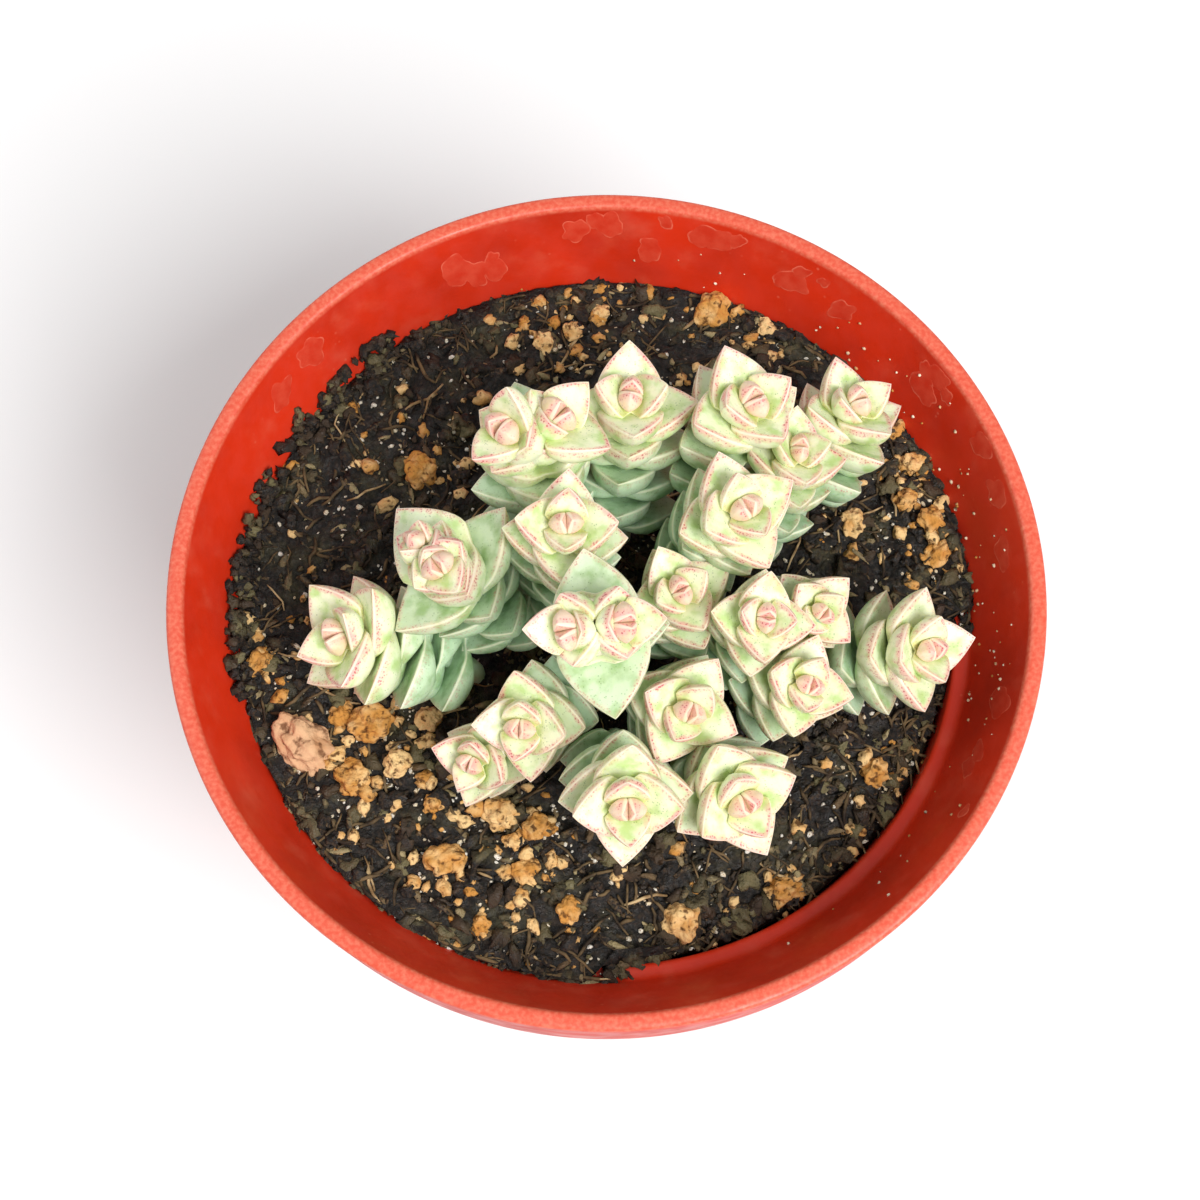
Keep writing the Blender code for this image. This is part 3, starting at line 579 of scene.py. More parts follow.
@dataclass
class Pot:
    """The moulded pot: its turned wall, ribs, drainage holes and water marks."""

    steps: int = 256
    rim_r: float = 50.0
    height: float = 80.0
    lip: float = 1.8
    lip_round: float = 0.5
    wall: float = 1.6
    throat_r: float = 43.0
    ledge_z: float = 68.2
    ledge_r: float = 41.2
    floor_z: float = 3.2
    floor_r: float = 33.4
    underside_z: float = 1.5
    foot_r: float = 35.0
    foot_width: float = 4.0
    skirt_h: float = 13.0
    skirt_draft: float = 0.7
    skirt_wall: float = 1.5
    groove_top_z: float = 75.6
    groove_end_wall: float = 0.3
    drain_centre_r: float = 4.0
    drain_r: float = 3.0
    drain_ring_r: float = 19.0
    drains: int = 6
    ribs: int = 8
    rib_first_deg: float = -107.5
    rib_width: float = 0.8
    rib_rise: float = 2.0
    rib_inset: float = 0.4
    rib_reach: float = 1.5
    round_steps: int = 4
    mark_count: int = 34
    mark_seed: int = 5

    def marks(self) -> list[WaterMark]:
        """Draw where the marks are: most of them on the wall to the right and behind."""
        rng = Random(self.mark_seed)
        marks = []
        for _ in range(self.mark_count):
            half = rng.uniform(0.9, 2.3)
            turn = rng.triangular(-40.0, 170.0, 45.0)
            marks.append(WaterMark(turn, rng.uniform(73.5, 78.3), half, half * rng.uniform(0.6, 0.9),
                                   rng.uniform(-40.0, 40.0)))
        return marks

    def inner_radius(self, z: float) -> float:
        """Give the radius of the inner wall at a height."""
        if z < self.ledge_z:
            share = (z - self.floor_z) / (self.ledge_z - self.floor_z)
            return self.floor_r + (self.ledge_r - self.floor_r) * share
        share = (z - self.ledge_z) / (self.height - self.ledge_z)
        return self.throat_r + (self.rim_r - self.lip - self.throat_r) * share

    def corners(self) -> list[tuple[float, float, float]]:
        """List the wall section's corners as radius, height and how far each is rounded."""
        slope = (self.rim_r - self.lip - self.throat_r) / (self.height - self.ledge_z)
        outer = self.throat_r + self.wall * math.hypot(1.0, slope)
        low_r = self.rim_r - self.skirt_draft
        low_z = self.height - self.skirt_h
        foot = self.foot_r - self.foot_width
        return [
            (self.drain_centre_r, self.underside_z, 0.2),
            (foot - self.underside_z, self.underside_z, 0.5),
            (foot, 0.0, 0.3),
            (self.foot_r, 0.0, 0.6),
            (self.ledge_r + self.wall, self.ledge_z - 2 * self.wall, 0.6),
            (outer, self.ledge_z - self.wall / 2, 0.5),
            (outer + slope * (self.groove_top_z - self.ledge_z), self.groove_top_z, 0.1),
            (self.rim_r - self.skirt_wall - self.groove_end_wall, self.groove_top_z, 0.3),
            (low_r - self.skirt_wall, low_z, 0.4),
            (low_r, low_z, 0.4),
            (self.rim_r, self.height, 0.7),
            (self.rim_r - self.lip, self.height, 0.45),
            (self.throat_r, self.ledge_z, 0.7),
            (self.ledge_r, self.ledge_z, 0.6),
            (self.floor_r, self.floor_z, 1.5),
            (self.drain_centre_r, self.floor_z, 0.2),
        ]

    def section(self) -> list[Point]:
        """Round every corner of the wall's closed section."""
        corners = self.corners()
        points = []
        for index, (radius, z, around) in enumerate(corners):
            here = Vector((radius, z))
            before = Vector(corners[index - 1][:2])
            after = Vector(corners[(index + 1) % len(corners)][:2])
            first = here + (before - here).normalized() * around
            last = here + (after - here).normalized() * around
            for step in range(self.round_steps + 1):
                t = step / self.round_steps
                bend = first * (1 - t) ** 2 + here * 2 * t * (1 - t) + last * t * t
                points.append((bend.x, bend.y))
        return points

    def turned(self) -> bmesh.types.BMesh:
        """Turn the wall's section once round Z."""
        bm = bmesh.new()
        verts = [bm.verts.new((radius, 0.0, z)) for radius, z in self.section()]
        edges = [bm.edges.new(pair) for pair in zip(verts, verts[1:] + verts[:1])]
        bmesh.ops.spin(bm, geom=verts + edges, cent=(0, 0, 0), axis=(0, 0, 1),
                       angle=math.tau, steps=self.steps, use_merge=True)
        bmesh.ops.remove_doubles(bm, verts=bm.verts, dist=0.001)
        return bm

    def add_ribs(self, bm: bmesh.types.BMesh) -> None:
        """Stand the stacking ribs on the ledge, with softened edges."""
        inner = self.ledge_r + self.rib_inset
        outer = self.throat_r + self.rib_reach
        size = Vector((outer - inner, self.rib_width, self.rib_rise + self.wall))
        centre_z = self.ledge_z - self.wall / 2 + size.z / 2
        for index in range(self.ribs):
            degrees = self.rib_first_deg + 360.0 * index / self.ribs
            centre = polar((inner + outer) / 2, degrees, centre_z)
            matrix = Matrix.LocRotScale(centre, Matrix.Rotation(math.radians(degrees), 3, "Z"), size)
            made = bmesh.ops.create_cube(bm, size=1.0, matrix=matrix)
            edges = list({edge for vert in made["verts"] for edge in vert.link_edges})
            bmesh.ops.bevel(bm, geom=edges, offset=0.2, segments=3, profile=0.5, affect="EDGES", material=-1)

    def drill(self, pot: bpy.types.Object) -> None:
        """Cut the ring of drainage holes through the floor."""
        bm = bmesh.new()
        middle_z = (self.underside_z + self.floor_z) / 2
        for index in range(self.drains):
            centre = polar(self.drain_ring_r, 360.0 * index / self.drains, middle_z)
            bmesh.ops.create_cone(bm, cap_ends=True, segments=48, radius1=self.drain_r,
                                  radius2=self.drain_r, depth=self.floor_z + 1.0,
                                  matrix=Matrix.Translation(centre))
        bmesh.ops.transform(bm, matrix=Matrix.Scale(MM, 4), verts=bm.verts)
        mesh = bpy.data.meshes.new("drill")
        bm.to_mesh(mesh)
        bm.free()
        drill = bpy.data.objects.new("drill", mesh)
        bpy.context.scene.collection.objects.link(drill)
        boolean = pot.modifiers.new("drains", "BOOLEAN")
        boolean.operation = "DIFFERENCE"
        boolean.object = drill
        bpy.context.view_layer.update()
        pot.data = bpy.data.meshes.new_from_object(pot.evaluated_get(bpy.context.evaluated_depsgraph_get()))
        pot.modifiers.clear()
        bpy.data.objects.remove(drill, do_unlink=True)

    def mark_point(self, mark: WaterMark, local: Vector, seed: float) -> Vector:
        """Lay a point of a mark's flat disc on the inner wall.

        Args:
            mark: The mark.
            local: The point of a unit sphere, whose Z is the film's thickness.
            seed: What makes this outline differ from the others.

        Returns:
            The point on the wall.
        """
        spoke = Vector((local.x, local.y, 0.0))
        if spoke.length > 1e-6:
            spoke *= 1.0 + 0.45 * noise.noise(spoke.normalized() * 1.3 + Vector((0, 0, seed)))
        slant = Matrix.Rotation(math.radians(mark.slant_deg), 3, "Z")
        flat = slant @ Vector((spoke.x * mark.half_width, spoke.y * mark.half_height, 0.0))
        z = min(mark.z + flat.y, self.height - 0.6)
        turn = mark.turn_deg - math.degrees(flat.x / self.rim_r)
        return polar(self.inner_radius(z) - 0.03 * local.z, turn, z)

    def build_marks(self) -> None:
        """Lay the dried water marks on the inner wall."""
        bm = bmesh.new()
        rim = bm.verts.layers.float.new("rim")
        for number, mark in enumerate(self.marks()):
            made = bmesh.ops.create_uvsphere(bm, u_segments=56, v_segments=20, radius=1.0)
            for vert in made["verts"]:
                inward = 1.0 - math.hypot(vert.co.x, vert.co.y)
                vert[rim] = inward * min(mark.half_width, mark.half_height)
                vert.co = self.mark_point(mark, vert.co.copy(), 3.7 * number)
        finish_piece("water_marks", bm, WaterMarkFinish().material())

    def build(self) -> None:
        """Build the pot and the marks on it."""
        bm = self.turned()
        self.add_ribs(bm)
        pot = finish_piece("pot_moulded", bm, PotFinish().material(), ("pot",), 40.0)
        self.drill(pot)
        self.build_marks()


@dataclass
class Soil:
    """The compost: its crumbly top, loose crumbs, fibres, grit and pebbles."""

    pot: Pot
    feet: list[Point]
    rings: int = 96
    steps: int = 360
    gap: float = 0.3
    level: float = 68.8
    edge_r: float = 43.2
    edge_z: float = 69.6
    low_z: float = 64.8
    shrunk_r: float = 39.6
    shrunk_z: float = 65.6
    shrunk_from: float = -86.0
    shrunk_to: float = -8.0
    shrunk_ease: float = 0.25
    inward_by: float = 0.2
    sink_from: float = 0.7
    step: float = 0.8
    dish: float = 0.8
    fade_from: float = 0.6
    fade: float = 0.6
    mound: float = 1.1
    mound_at: Point = (3.0, -5.0)
    mound_r: float = 22.0
    lumps: tuple[tuple[float, float, float, float], ...] = (
        (0.34, 0.47, 0.12, 1.3), (0.26, 0.92, -0.61, 2.0), (0.2, 0.55, 1.24, 0.0), (0.17, 0.33, -0.85, 0.7))
    long_stone: tuple[float, float, float, float, float] = (-35.4, -14.8, 2.7, 1.5, -52.0)
    stones: tuple[tuple[float, float, float], ...] = (
        (-21.1, -12.3, 1.6), (-27.8, -12.6, 2.3), (-31.2, -11.6, 1.3), (-29.8, -18.9, 2.0),
        (-24.6, -17.6, 1.6), (-12.8, -23.6, 1.9), (-8.8, -25.4, 1.5), (-11.4, -27.0, 1.1),
        (-10.0, -30.4, 1.6), (-19.1, -28.8, 2.0), (7.4, -36.4, 2.2), (19.6, -33.0, 1.6),
        (37.5, 18.0, 1.4), (39.3, 10.5, 1.6), (39.6, 6.4, 1.4), (36.3, 13.4, 1.3),
        (14.2, 39.3, 2.0), (20.9, 36.6, 1.1), (0.3, 39.4, 1.1), (-3.1, 37.0, 1.2),
        (-6.6, 35.4, 1.4), (-22.0, 18.9, 2.0), (-41.0, -4.7, 1.5), (30.6, -19.6, 1.5),
        (-5.0, -35.1, 1.4), (29.7, 10.7, 1.5), (-15.2, -36.6, 1.1), (-20.6, -22.3, 1.0))
    seed: int = 7

    def shrunk(self, degrees: float) -> float:
        """Say how far the soil has drawn back from the wall at a compass angle."""
        middle = (self.shrunk_from + self.shrunk_to) / 2
        half = (self.shrunk_to - self.shrunk_from) / 2
        off = abs((degrees - middle + 180.0) % 360.0 - 180.0) / half
        return eased((1.0 + self.shrunk_ease - off) / (2 * self.shrunk_ease))

    def relief(self, x: float, y: float) -> float:
        """Give the low swells of the surface."""
        near = math.hypot(x - self.mound_at[0], y - self.mound_at[1]) / self.mound_r
        swell = self.mound * math.exp(-near * near)
        return swell + sum(high * math.sin(kx * x + ky * y + shift) for high, kx, ky, shift in self.lumps)

    def surface(self, x: float, y: float, share: float) -> float:
        """Give the height at a place of the turned soil, with how far it has shrunk there."""
        rim_share = max(0.0, math.hypot(x, y) / self.edge_r - self.fade_from) / (1.0 - self.fade_from)
        drop = share * (self.level - self.shrunk_z) * self.dish * rim_share * rim_share
        return self.level + self.relief(x, y) * (1.0 - self.fade * rim_share) - drop

    def squeeze(self, share: float) -> float:
        """Say how far the top is drawn in."""
        return 1.0 + share * (self.shrunk_r / self.edge_r - 1.0)

    def top(self, x: float, y: float) -> float:
        """Give the height of the finished surface at a place."""
        share = self.shrunk(math.degrees(math.atan2(y, x)))
        squeeze = self.squeeze(share)
        return self.surface(x / squeeze, y / squeeze, share)

    def section(self) -> list[Point]:
        """Give the soil's section from the floor up the wall and back to the axis."""
        pot = self.pot
        points = [(0.0, pot.floor_z + self.gap), (pot.floor_r - self.gap, pot.floor_z + self.gap)]
        points += [(pot.inner_radius(self.low_z) - self.gap, self.low_z)]
        points += [(pot.ledge_r - self.gap, pot.ledge_z + self.gap)]
        points += [(self.edge_r - 2.5 * self.gap, pot.ledge_z + 1.4 * self.gap), (self.edge_r, self.edge_z)]
        top_r = self.edge_r * 0.985
        points += [(top_r * (1.0 - ring / self.rings), self.level) for ring in range(self.rings)]
        return points + [(0.0, self.level)]

    def edge_point(self, co: Vector, over: float, share: float) -> Vector:
        """Draw an edge point in and down where the soil has shrunk.

        Args:
            co: The point of the turned soil.
            over: How far out it is between the ledge and the edge.
            share: How far the soil has shrunk there.

        Returns:
            The finished point.
        """
        radius = math.hypot(co.x, co.y)
        inward = min(1.0, share / self.inward_by)
        sunk = max(0.0, (share - self.sink_from) / (1.0 - self.sink_from))
        under = self.step * (1.0 - over)
        new_radius = radius + inward * (self.shrunk_r + under - radius)
        new_z = co.z + sunk * (self.shrunk_z - under / 2 - co.z)
        return Vector((co.x * new_radius / radius, co.y * new_radius / radius, new_z))

    def crumble(self, co: Vector) -> Vector:
        """Give the small uneven shift of a point of the surface."""
        lift = 0.55 * noise.noise(co * 0.45) + 0.5 * noise.noise(co * 1.1 + Vector((9, 0, 0)))
        lift += 0.4 * noise.noise(co * 2.1 + Vector((0, 9, 0)))
        side = noise.noise_vector(co * 1.4) * 0.3
        return Vector((side.x, side.y, lift))

    def ragged(self, co: Vector) -> Vector:
        """Draw the edge of the soil in unevenly, and keep it off the wall."""
        radius = math.hypot(co.x, co.y)
        near = eased((radius / self.edge_r - 0.86) / 0.14)
        inward = 1.1 * near * max(0.0, 0.3 + 1.6 * noise.noise(Vector((co.x, co.y, 40.0)) * 0.32))
        inward += 0.5 * near * max(0.0, noise.noise(Vector((co.x, co.y, 70.0)) * 1.1))
        most = self.pot.inner_radius(max(co.z, self.pot.ledge_z)) - 0.08
        share = min(radius - inward, most) / max(radius, 1.0)
        return Vector((co.x * share, co.y * share, co.z)) if radius > 1.0 else co

    def shaped(self, co: Vector) -> Vector:
        """Move a point of the turned soil to the uneven surface and the drawn-back edge."""
        if co.z < self.pot.ledge_z:
            return co
        pot = self.pot
        radius = math.hypot(co.x, co.y)
        share = self.shrunk(math.degrees(math.atan2(co.y, co.x)))
        over = (radius - pot.ledge_r + self.gap) / (self.edge_r - pot.ledge_r + self.gap)
        if over > -0.01 and abs(co.z - self.level) > 0.001:
            return self.edge_point(co, over, share) + self.crumble(co) * 0.4
        squeeze = self.squeeze(share)
        flat = Vector((co.x * squeeze, co.y * squeeze, self.surface(co.x, co.y, share)))
        rim = eased((radius / self.edge_r - 0.9) / 0.1) * (1.0 - share)
        flat.z += rim * (self.edge_z - 0.3 - flat.z) * 0.6
        return self.ragged(flat + self.crumble(co) * (1.0 - 0.3 * rim))

    def build_bed(self) -> None:
        """Build the body of the soil with its crumbly top."""
        bm = bmesh.new()
        profile = self.section()
        verts = [bm.verts.new((radius, 0.0, z)) for radius, z in profile]
        edges = [bm.edges.new(pair) for pair in zip(verts, verts[1:])]
        bmesh.ops.spin(bm, geom=verts + edges, cent=(0, 0, 0), axis=(0, 0, 1),
                       angle=math.tau, steps=self.steps, use_merge=True)
        bmesh.ops.remove_doubles(bm, verts=bm.verts, dist=0.001)
        for vert in bm.verts:
            vert.co = self.shaped(vert.co)
        finish_piece("soil_bed", bm, EarthFinish("compost").material(), ("soil",))

    def spread(self, rng: Random, near_edge: float = 0.0) -> Vector:
        """Draw a place on the soil.

        Args:
            rng: The draw.
            near_edge: The share of places that lie along the edge.

        Returns:
            The place on the surface.
        """
        degrees = rng.uniform(-180.0, 180.0)
        edge = self.edge_r + self.shrunk(degrees) * (self.shrunk_r - self.edge_r)
        if rng.random() < near_edge:
            radius = edge + rng.uniform(-1.6, 0.5)
        else:
            radius = edge * math.sqrt(rng.random())
        place = polar(radius, degrees)
        return Vector((place.x, place.y, self.top(place.x, place.y)))

    def by_stone(self, rng: Random, scatter: float) -> Vector:
        """Draw a place beside one of the pebbles."""
        x, y, _ = rng.choice(self.stones)
        x += rng.gauss(0.0, scatter)
        y += rng.gauss(0.0, scatter)
        most = self.edge_r - 0.6
        reach = min(1.0, most / max(1.0, math.hypot(x, y)))
        return Vector((x * reach, y * reach, self.top(x * reach, y * reach)))

    def balls(self, count: int, faces: int) -> tuple[bmesh.types.BMesh, object, list]:
        """Make balls of radius 1 in one bmesh.

        Args:
            count: How many.
            faces: The icosphere's subdivisions.

        Returns:
            The bmesh, its layer of tones and the vertices of each ball.
        """
        bm = bmesh.new()
        tone = bm.verts.layers.float.new("tone")
        bmesh.ops.create_icosphere(bm, subdivisions=faces, radius=1.0)
        return bm, tone, repeated(bm, count)

    def lump(self, verts: list[bmesh.types.BMVert], tone: object, at: Vector, half: float, rough: float,
             rng: Random, stretch: float = 1.0, turn_deg: float | None = None, flat: float = 0.8,
             tilt: float = 0.4) -> None:
        """Turn a ball of radius 1 into a rough lump, half sunk in the soil.

        Args:
            verts: The ball's vertices.
            tone: The layer of the lumps' tones.
            at: Its place on the surface.
            half: Its half-width in millimetres.
            rough: How uneven it is.
            rng: The draw.
            stretch: How much longer than wide it is.
            turn_deg: Its turn, drawn where not given.
            flat: How high it is for its width.
            tilt: How far it may lean, in radians.
        """
        turn = math.radians(rng.uniform(0.0, 360.0) if turn_deg is None else turn_deg)
        lean = Matrix.Rotation(turn, 3, "Z") @ Matrix.Rotation(rng.uniform(-tilt, tilt), 3, "Y")
        lean = lean @ Matrix.Rotation(rng.uniform(-tilt, tilt), 3, "X")
        shift = Vector((rng.uniform(0, 99), rng.uniform(0, 99), 0.0))
        shade = rng.random()
        for vert in verts:
            way = vert.co.copy()
            swell = 1.0 + rough * noise.noise(way * 1.6 + shift)
            if len(verts) > 100:
                swell += 0.28 * rough * noise.noise(way * 3.6 + shift)
                swell -= 0.22 * rough * max(0.0, noise.noise(way * 7.0 + shift))
            local = Vector((way.x * stretch, way.y, way.z * flat)) * half * swell
            vert.co = at + lean @ local + Vector((0, 0, 0.25 * half))
            vert[tone] = shade

    def scatter(self, name: str, count: int, sizes: Point, faces: int, material: bpy.types.Material,
                seed: int, near_edge: float = 0.0, by_stones: float = 0.0, rough: float = 0.8,
                flat: float = 0.8, tilt: float = 0.4) -> None:
        """Scatter small lumps over the soil.

        Args:
            name: The piece's name.
            count: How many lumps.
            sizes: The least and the greatest half-width.
            faces: The icosphere's subdivisions.
            material: The finish.
            seed: The draw's seed.
            near_edge: The share that lies along the edge.
            by_stones: The share that lies beside the pebbles.
            rough: How uneven each one is.
            flat: How high each one is for its width.
            tilt: How far one may lean, in radians.
        """
        rng = Random(seed)
        bm, tone, balls = self.balls(count, faces)
        for ball in balls:
            at = self.by_stone(rng, 3.2) if rng.random() < by_stones else self.spread(rng, near_edge)
            half = sizes[0] + (sizes[1] - sizes[0]) * rng.random() ** 2.2
            stretch = rng.uniform(1.0, 1.7) / min(1.0, flat * 1.6)
            self.lump(ball, tone, at, half, rough, rng, stretch, None, flat, tilt)
        finish_piece(name, bm, material)

    def build_pebbles(self) -> None:
        """Set the pumice grains and the one long pebble in the soil."""
        rng = Random(self.seed)
        bm, tone, balls = self.balls(len(self.stones), 5)
        for (x, y, half), ball in zip(self.stones, balls):
            at = Vector((x, y, self.top(x, y)))
            self.lump(ball, tone, at, half, 0.42, rng, rng.uniform(1.0, 1.25))
        finish_piece("pumice_grains", bm, GritFinish("pumice").material())
        bm, tone, balls = self.balls(1, 5)
        x, y, half, stretch, turn = self.long_stone
        self.lump(balls[0], tone, Vector((x, y, self.top(x, y))), half, 0.4, rng, stretch, turn)
        # Its third colour is the painted shade in the pebble's pits.
        rosy = GritFinish("long_pebble", paint(214, 172, 132), paint(184, 128, 84), paint(110, 72, 46), 2.0)
        finish_piece("long_pebble", bm, rosy.material())

    def fibres(self, name: str, count: int, length: Point, thick: Point, material: bpy.types.Material,
               seed: int, near_edge: float) -> None:
        """Strew bent fibres over the soil.

        Args:
            name: The piece's name.
            count: How many fibres.
            length: The least and the greatest length.
            thick: The least and the greatest half-width.
            material: The finish.
            seed: The draw's seed.
            near_edge: The share that lies along the edge.
        """
        rng = Random(seed)
        curve = bpy.data.curves.new(name, "CURVE")
        curve.dimensions = "3D"
        curve.bevel_depth = 1.0 * MM
        curve.bevel_resolution = 1
        curve.use_fill_caps = True
        for _ in range(count):
            at = self.spread(rng, near_edge)
            heading = rng.uniform(0.0, math.tau)
            reach = rng.uniform(*length)
            half = rng.uniform(*thick)
            spline = curve.splines.new("POLY")
            spline.points.add(4)
            for index, point in enumerate(spline.points):
                share = index / 4.0
                heading += rng.gauss(0.0, 0.28)
                at = at + Vector((math.cos(heading), math.sin(heading), 0.0)) * reach / 4.0
                inward = min(1.0, (self.edge_r - 0.3) / max(1.0, math.hypot(at.x, at.y)))
                ground = self.top(at.x * inward, at.y * inward) + 0.25 + rng.uniform(0.0, 0.5) * math.sin(3.1 * share)
                point.co = (at.x * inward * MM, at.y * inward * MM, ground * MM, 1.0)
                point.radius = half * (0.35 + 0.65 * math.sin(math.pi * (0.15 + 0.7 * share)))
        holder = bpy.data.objects.new(name + "_curve", curve)
        bpy.context.scene.collection.objects.link(holder)
        bpy.context.view_layer.update()
        mesh = bpy.data.meshes.new_from_object(holder.evaluated_get(bpy.context.evaluated_depsgraph_get()))
        bm = bmesh.new()
        bm.from_mesh(mesh)
        bmesh.ops.transform(bm, matrix=Matrix.Scale(1.0 / MM, 4), verts=bm.verts)
        bmesh.ops.remove_doubles(bm, verts=bm.verts, dist=0.001)
        bpy.data.objects.remove(holder, do_unlink=True)
        bpy.data.meshes.remove(mesh)
        finish_piece(name, bm, material)

    def build_clumps(self, material: bpy.types.Material) -> None:
        """Pile crumbs against the wall to the left, where soil was left on it."""
        rng = Random(self.seed + 60)
        bm, tone, balls = self.balls(230, 2)
        for ball in balls:
            degrees = rng.choice((128.0, 138.0, 147.0, 158.0, 165.0, 173.0, 181.0, 188.0)) + rng.gauss(0.0, 2.2)
            z = self.pot.ledge_z + 0.6 + 3.4 * rng.random() ** 1.5
            at = polar(self.pot.inner_radius(z) - rng.uniform(0.2, 1.0), degrees, z)
            self.lump(ball, tone, at, rng.uniform(0.25, 0.8), 1.2, rng, rng.uniform(1.0, 1.6))
        finish_piece("wall_clumps", bm, material)

    def build_wall_specks(self) -> None:
        """Stick a few tiny grains to the pot's inner wall, as watering leaves them."""
        rng = Random(self.seed + 40)
        bm, tone, balls = self.balls(110, 1)
        for ball in balls:
            degrees = rng.triangular(-75.0, 110.0, 10.0)
            z = self.pot.ledge_z + 1.0 + 8.0 * rng.random() ** 1.8
            at = polar(self.pot.inner_radius(z), degrees, z)
            self.lump(ball, tone, at, rng.uniform(0.08, 0.26), 0.6, rng)
        finish_piece("wall_specks", bm, GritFinish("speck_grit", paint(244, 232, 206)).material())

    def build(self) -> None:
        """Build the soil and all that lies on it."""
        self.build_bed()
        crumbs = EarthFinish("loose_crumb", paint(16, 12, 9), paint(64, 48, 32), paint(112, 104, 70), 0.5).material()
        chips = EarthFinish("bark_chip", paint(24, 18, 12), paint(104, 82, 54), paint(168, 152, 110), 0.4).material()
        pumice = GritFinish("small_pumice").material()
        # The perlite's third colour is the painted shade in its pits.
        perlite = GritFinish("perlite", paint(250, 246, 234), paint(232, 214, 178), paint(170, 140, 100), 0.4).material()
        self.scatter("soil_crumbs", 1500, (0.25, 1.05), 2, crumbs, 21, 0.25, 0.0, 1.3)
        self.scatter("bark_chips", 2200, (0.16, 0.6), 1, chips, 24, 0.2, 0.0, 0.9, 0.3, 0.8)
        self.scatter("small_grit", 420, (0.3, 0.95), 2, pumice, 22, 0.15, 0.7, 0.7)
        self.scatter("perlite_specks", 2200, (0.09, 0.34), 1, perlite, 23, 0.12, 0.2, 0.6)
        self.build_clumps(crumbs)
        self.build_pebbles()
        brown = FibreFinish("brown_fibre", paint(112, 92, 62), paint(40, 30, 20)).material()
        straw = FibreFinish("straw", paint(196, 170, 126), paint(120, 92, 58)).material()
        self.fibres("brown_fibres", 900, (1.2, 5.0), (0.09, 0.24), brown, 31, 0.3)
        self.fibres("straws", 70, (1.8, 6.0), (0.1, 0.22), straw, 32, 0.2)
        self.build_wall_specks()


@dataclass(frozen=True)
class Growth:
    """How a leafy stem grows: the numbers that every pair and path share."""

    hole_floor_z: float = 60.3
    crown_z: float = 70.2
    stem_r: float = 1.15
    branch_foot_r: float = 0.7
    light: Vector = field(default_factory=lambda: Vector((0.0, -0.33, 0.94)))
    to_light: float = 0.78
    foot_pull: float = 0.3
    top_pull: float = 0.38
    fork_back: float = 7.5
    branch_sink: float = 1.2
    trunk_end: float = 0.5
    path_steps: int = 24
    branch_steps: int = 10
    node_depths: tuple[float, ...] = (2.4, 3.2, 4.3, 5.9, 7.9)
    old_spacing: float = 2.35
    depth_grows: float = 0.15
    end_margin: float = 1.0
    lengths: tuple[float, ...] = (2.5, 5.0, 6.8, 7.5, 7.6)
    old_shrink: float = 0.97
    rises_deg: tuple[float, ...] = (78.0, 44.0, 29.0, 20.0, 14.0)
    old_rise_deg: float = 11.0
    half_width: float = 0.5
    widest: float = 0.26
    point_power: float = 1.7
    narrowing: float = 0.6
    neck: float = 0.45
    neck_slope: float = 1.3
    thin_power: float = 2.4
    waists: tuple[float, ...] = (0.8, 0.6, 0.65, 0.75, 0.9)
    cores: tuple[float, ...] = (0.5, 0.7, 0.9, 1.05, 1.15)
    roots: tuple[float, ...] = (0.7, 0.6, 0.9, 1.3, 1.7)
    thick: float = 0.3
    bud_thick: float = 0.68
    cup: float = 0.13
    curl_deg: float = 9.0
    midline_steps: int = 8
    bend_share: float = 0.22
    jitter_deg: float = 5.0
    lowest_pair_z: float = 73.8
    fork_growth: float = 1.28
    fine_rings: tuple[float, ...] = (0.3, 0.62, 0.86)
    plain_rings: tuple[float, ...] = (0.4, 0.78)
    lowest_rise_deg: float = -20.0
    seed: int = 11
    clearance: float = 0.08
    bend_down_deg: float = 2.0
    shorten: float = 0.93
    shortest: float = 0.3
    fork_shortest: float = 0.6
    clear_rounds: int = 60
    around: int = 28
    lengthwise: int = 36
    keel_share: float = 0.22
    belly_power: float = 0.55
    bulk: float = 1.3
    tip_power: float = 3.6
    puff: float = 0.15
    bud_puff: float = 0.3
    oldest: float = 8.0


GROWTH = Growth()


class Path:
    """A smooth line up a stem, measured back from its upper end."""

    def __init__(self, points: list[Vector]) -> None:
        """Keep the points, from the foot up, with their distances back from the top."""
        self.points = points
        self.back = [0.0]
        for low, high in zip(points[-2::-1], points[:0:-1]):
            self.back.append(self.back[-1] + (high - low).length)
        self.back.reverse()
        self.length = self.back[0]

    def at(self, depth: float) -> tuple[Vector, Vector]:
        """Give the point and the upward direction at a distance back from the top."""
        index = len(self.points) - 2
        while index > 0 and self.back[index] < depth:
            index -= 1
        low, high = self.points[index], self.points[index + 1]
        share = (self.back[index] - depth) / (self.back[index] - self.back[index + 1])
        return low.lerp(high, share), (high - low).normalized()


def curved_path(foot: Vector, foot_direction: Vector, top: Vector, steps: int) -> list[Vector]:
    """Draw a line that leaves the foot in one direction, leans over and turns up to the light.

    Args:
        foot: The lower end.
        foot_direction: The direction at the lower end.
        top: The upper end.
        steps: How many stretches the line has.

    Returns:
        The line's points.
    """
    reach = (top - foot).length
    first = foot + foot_direction * reach * GROWTH.foot_pull
    nod = (top - first).normalized().lerp(GROWTH.light, GROWTH.to_light).normalized()
    last = top - nod * reach * GROWTH.top_pull
    points = []
    for step in range(steps + 1):
        t = step / steps
        s = 1.0 - t
        points.append(foot * s ** 3 + first * 3 * s * s * t + last * 3 * s * t * t + top * t ** 3)
    return points


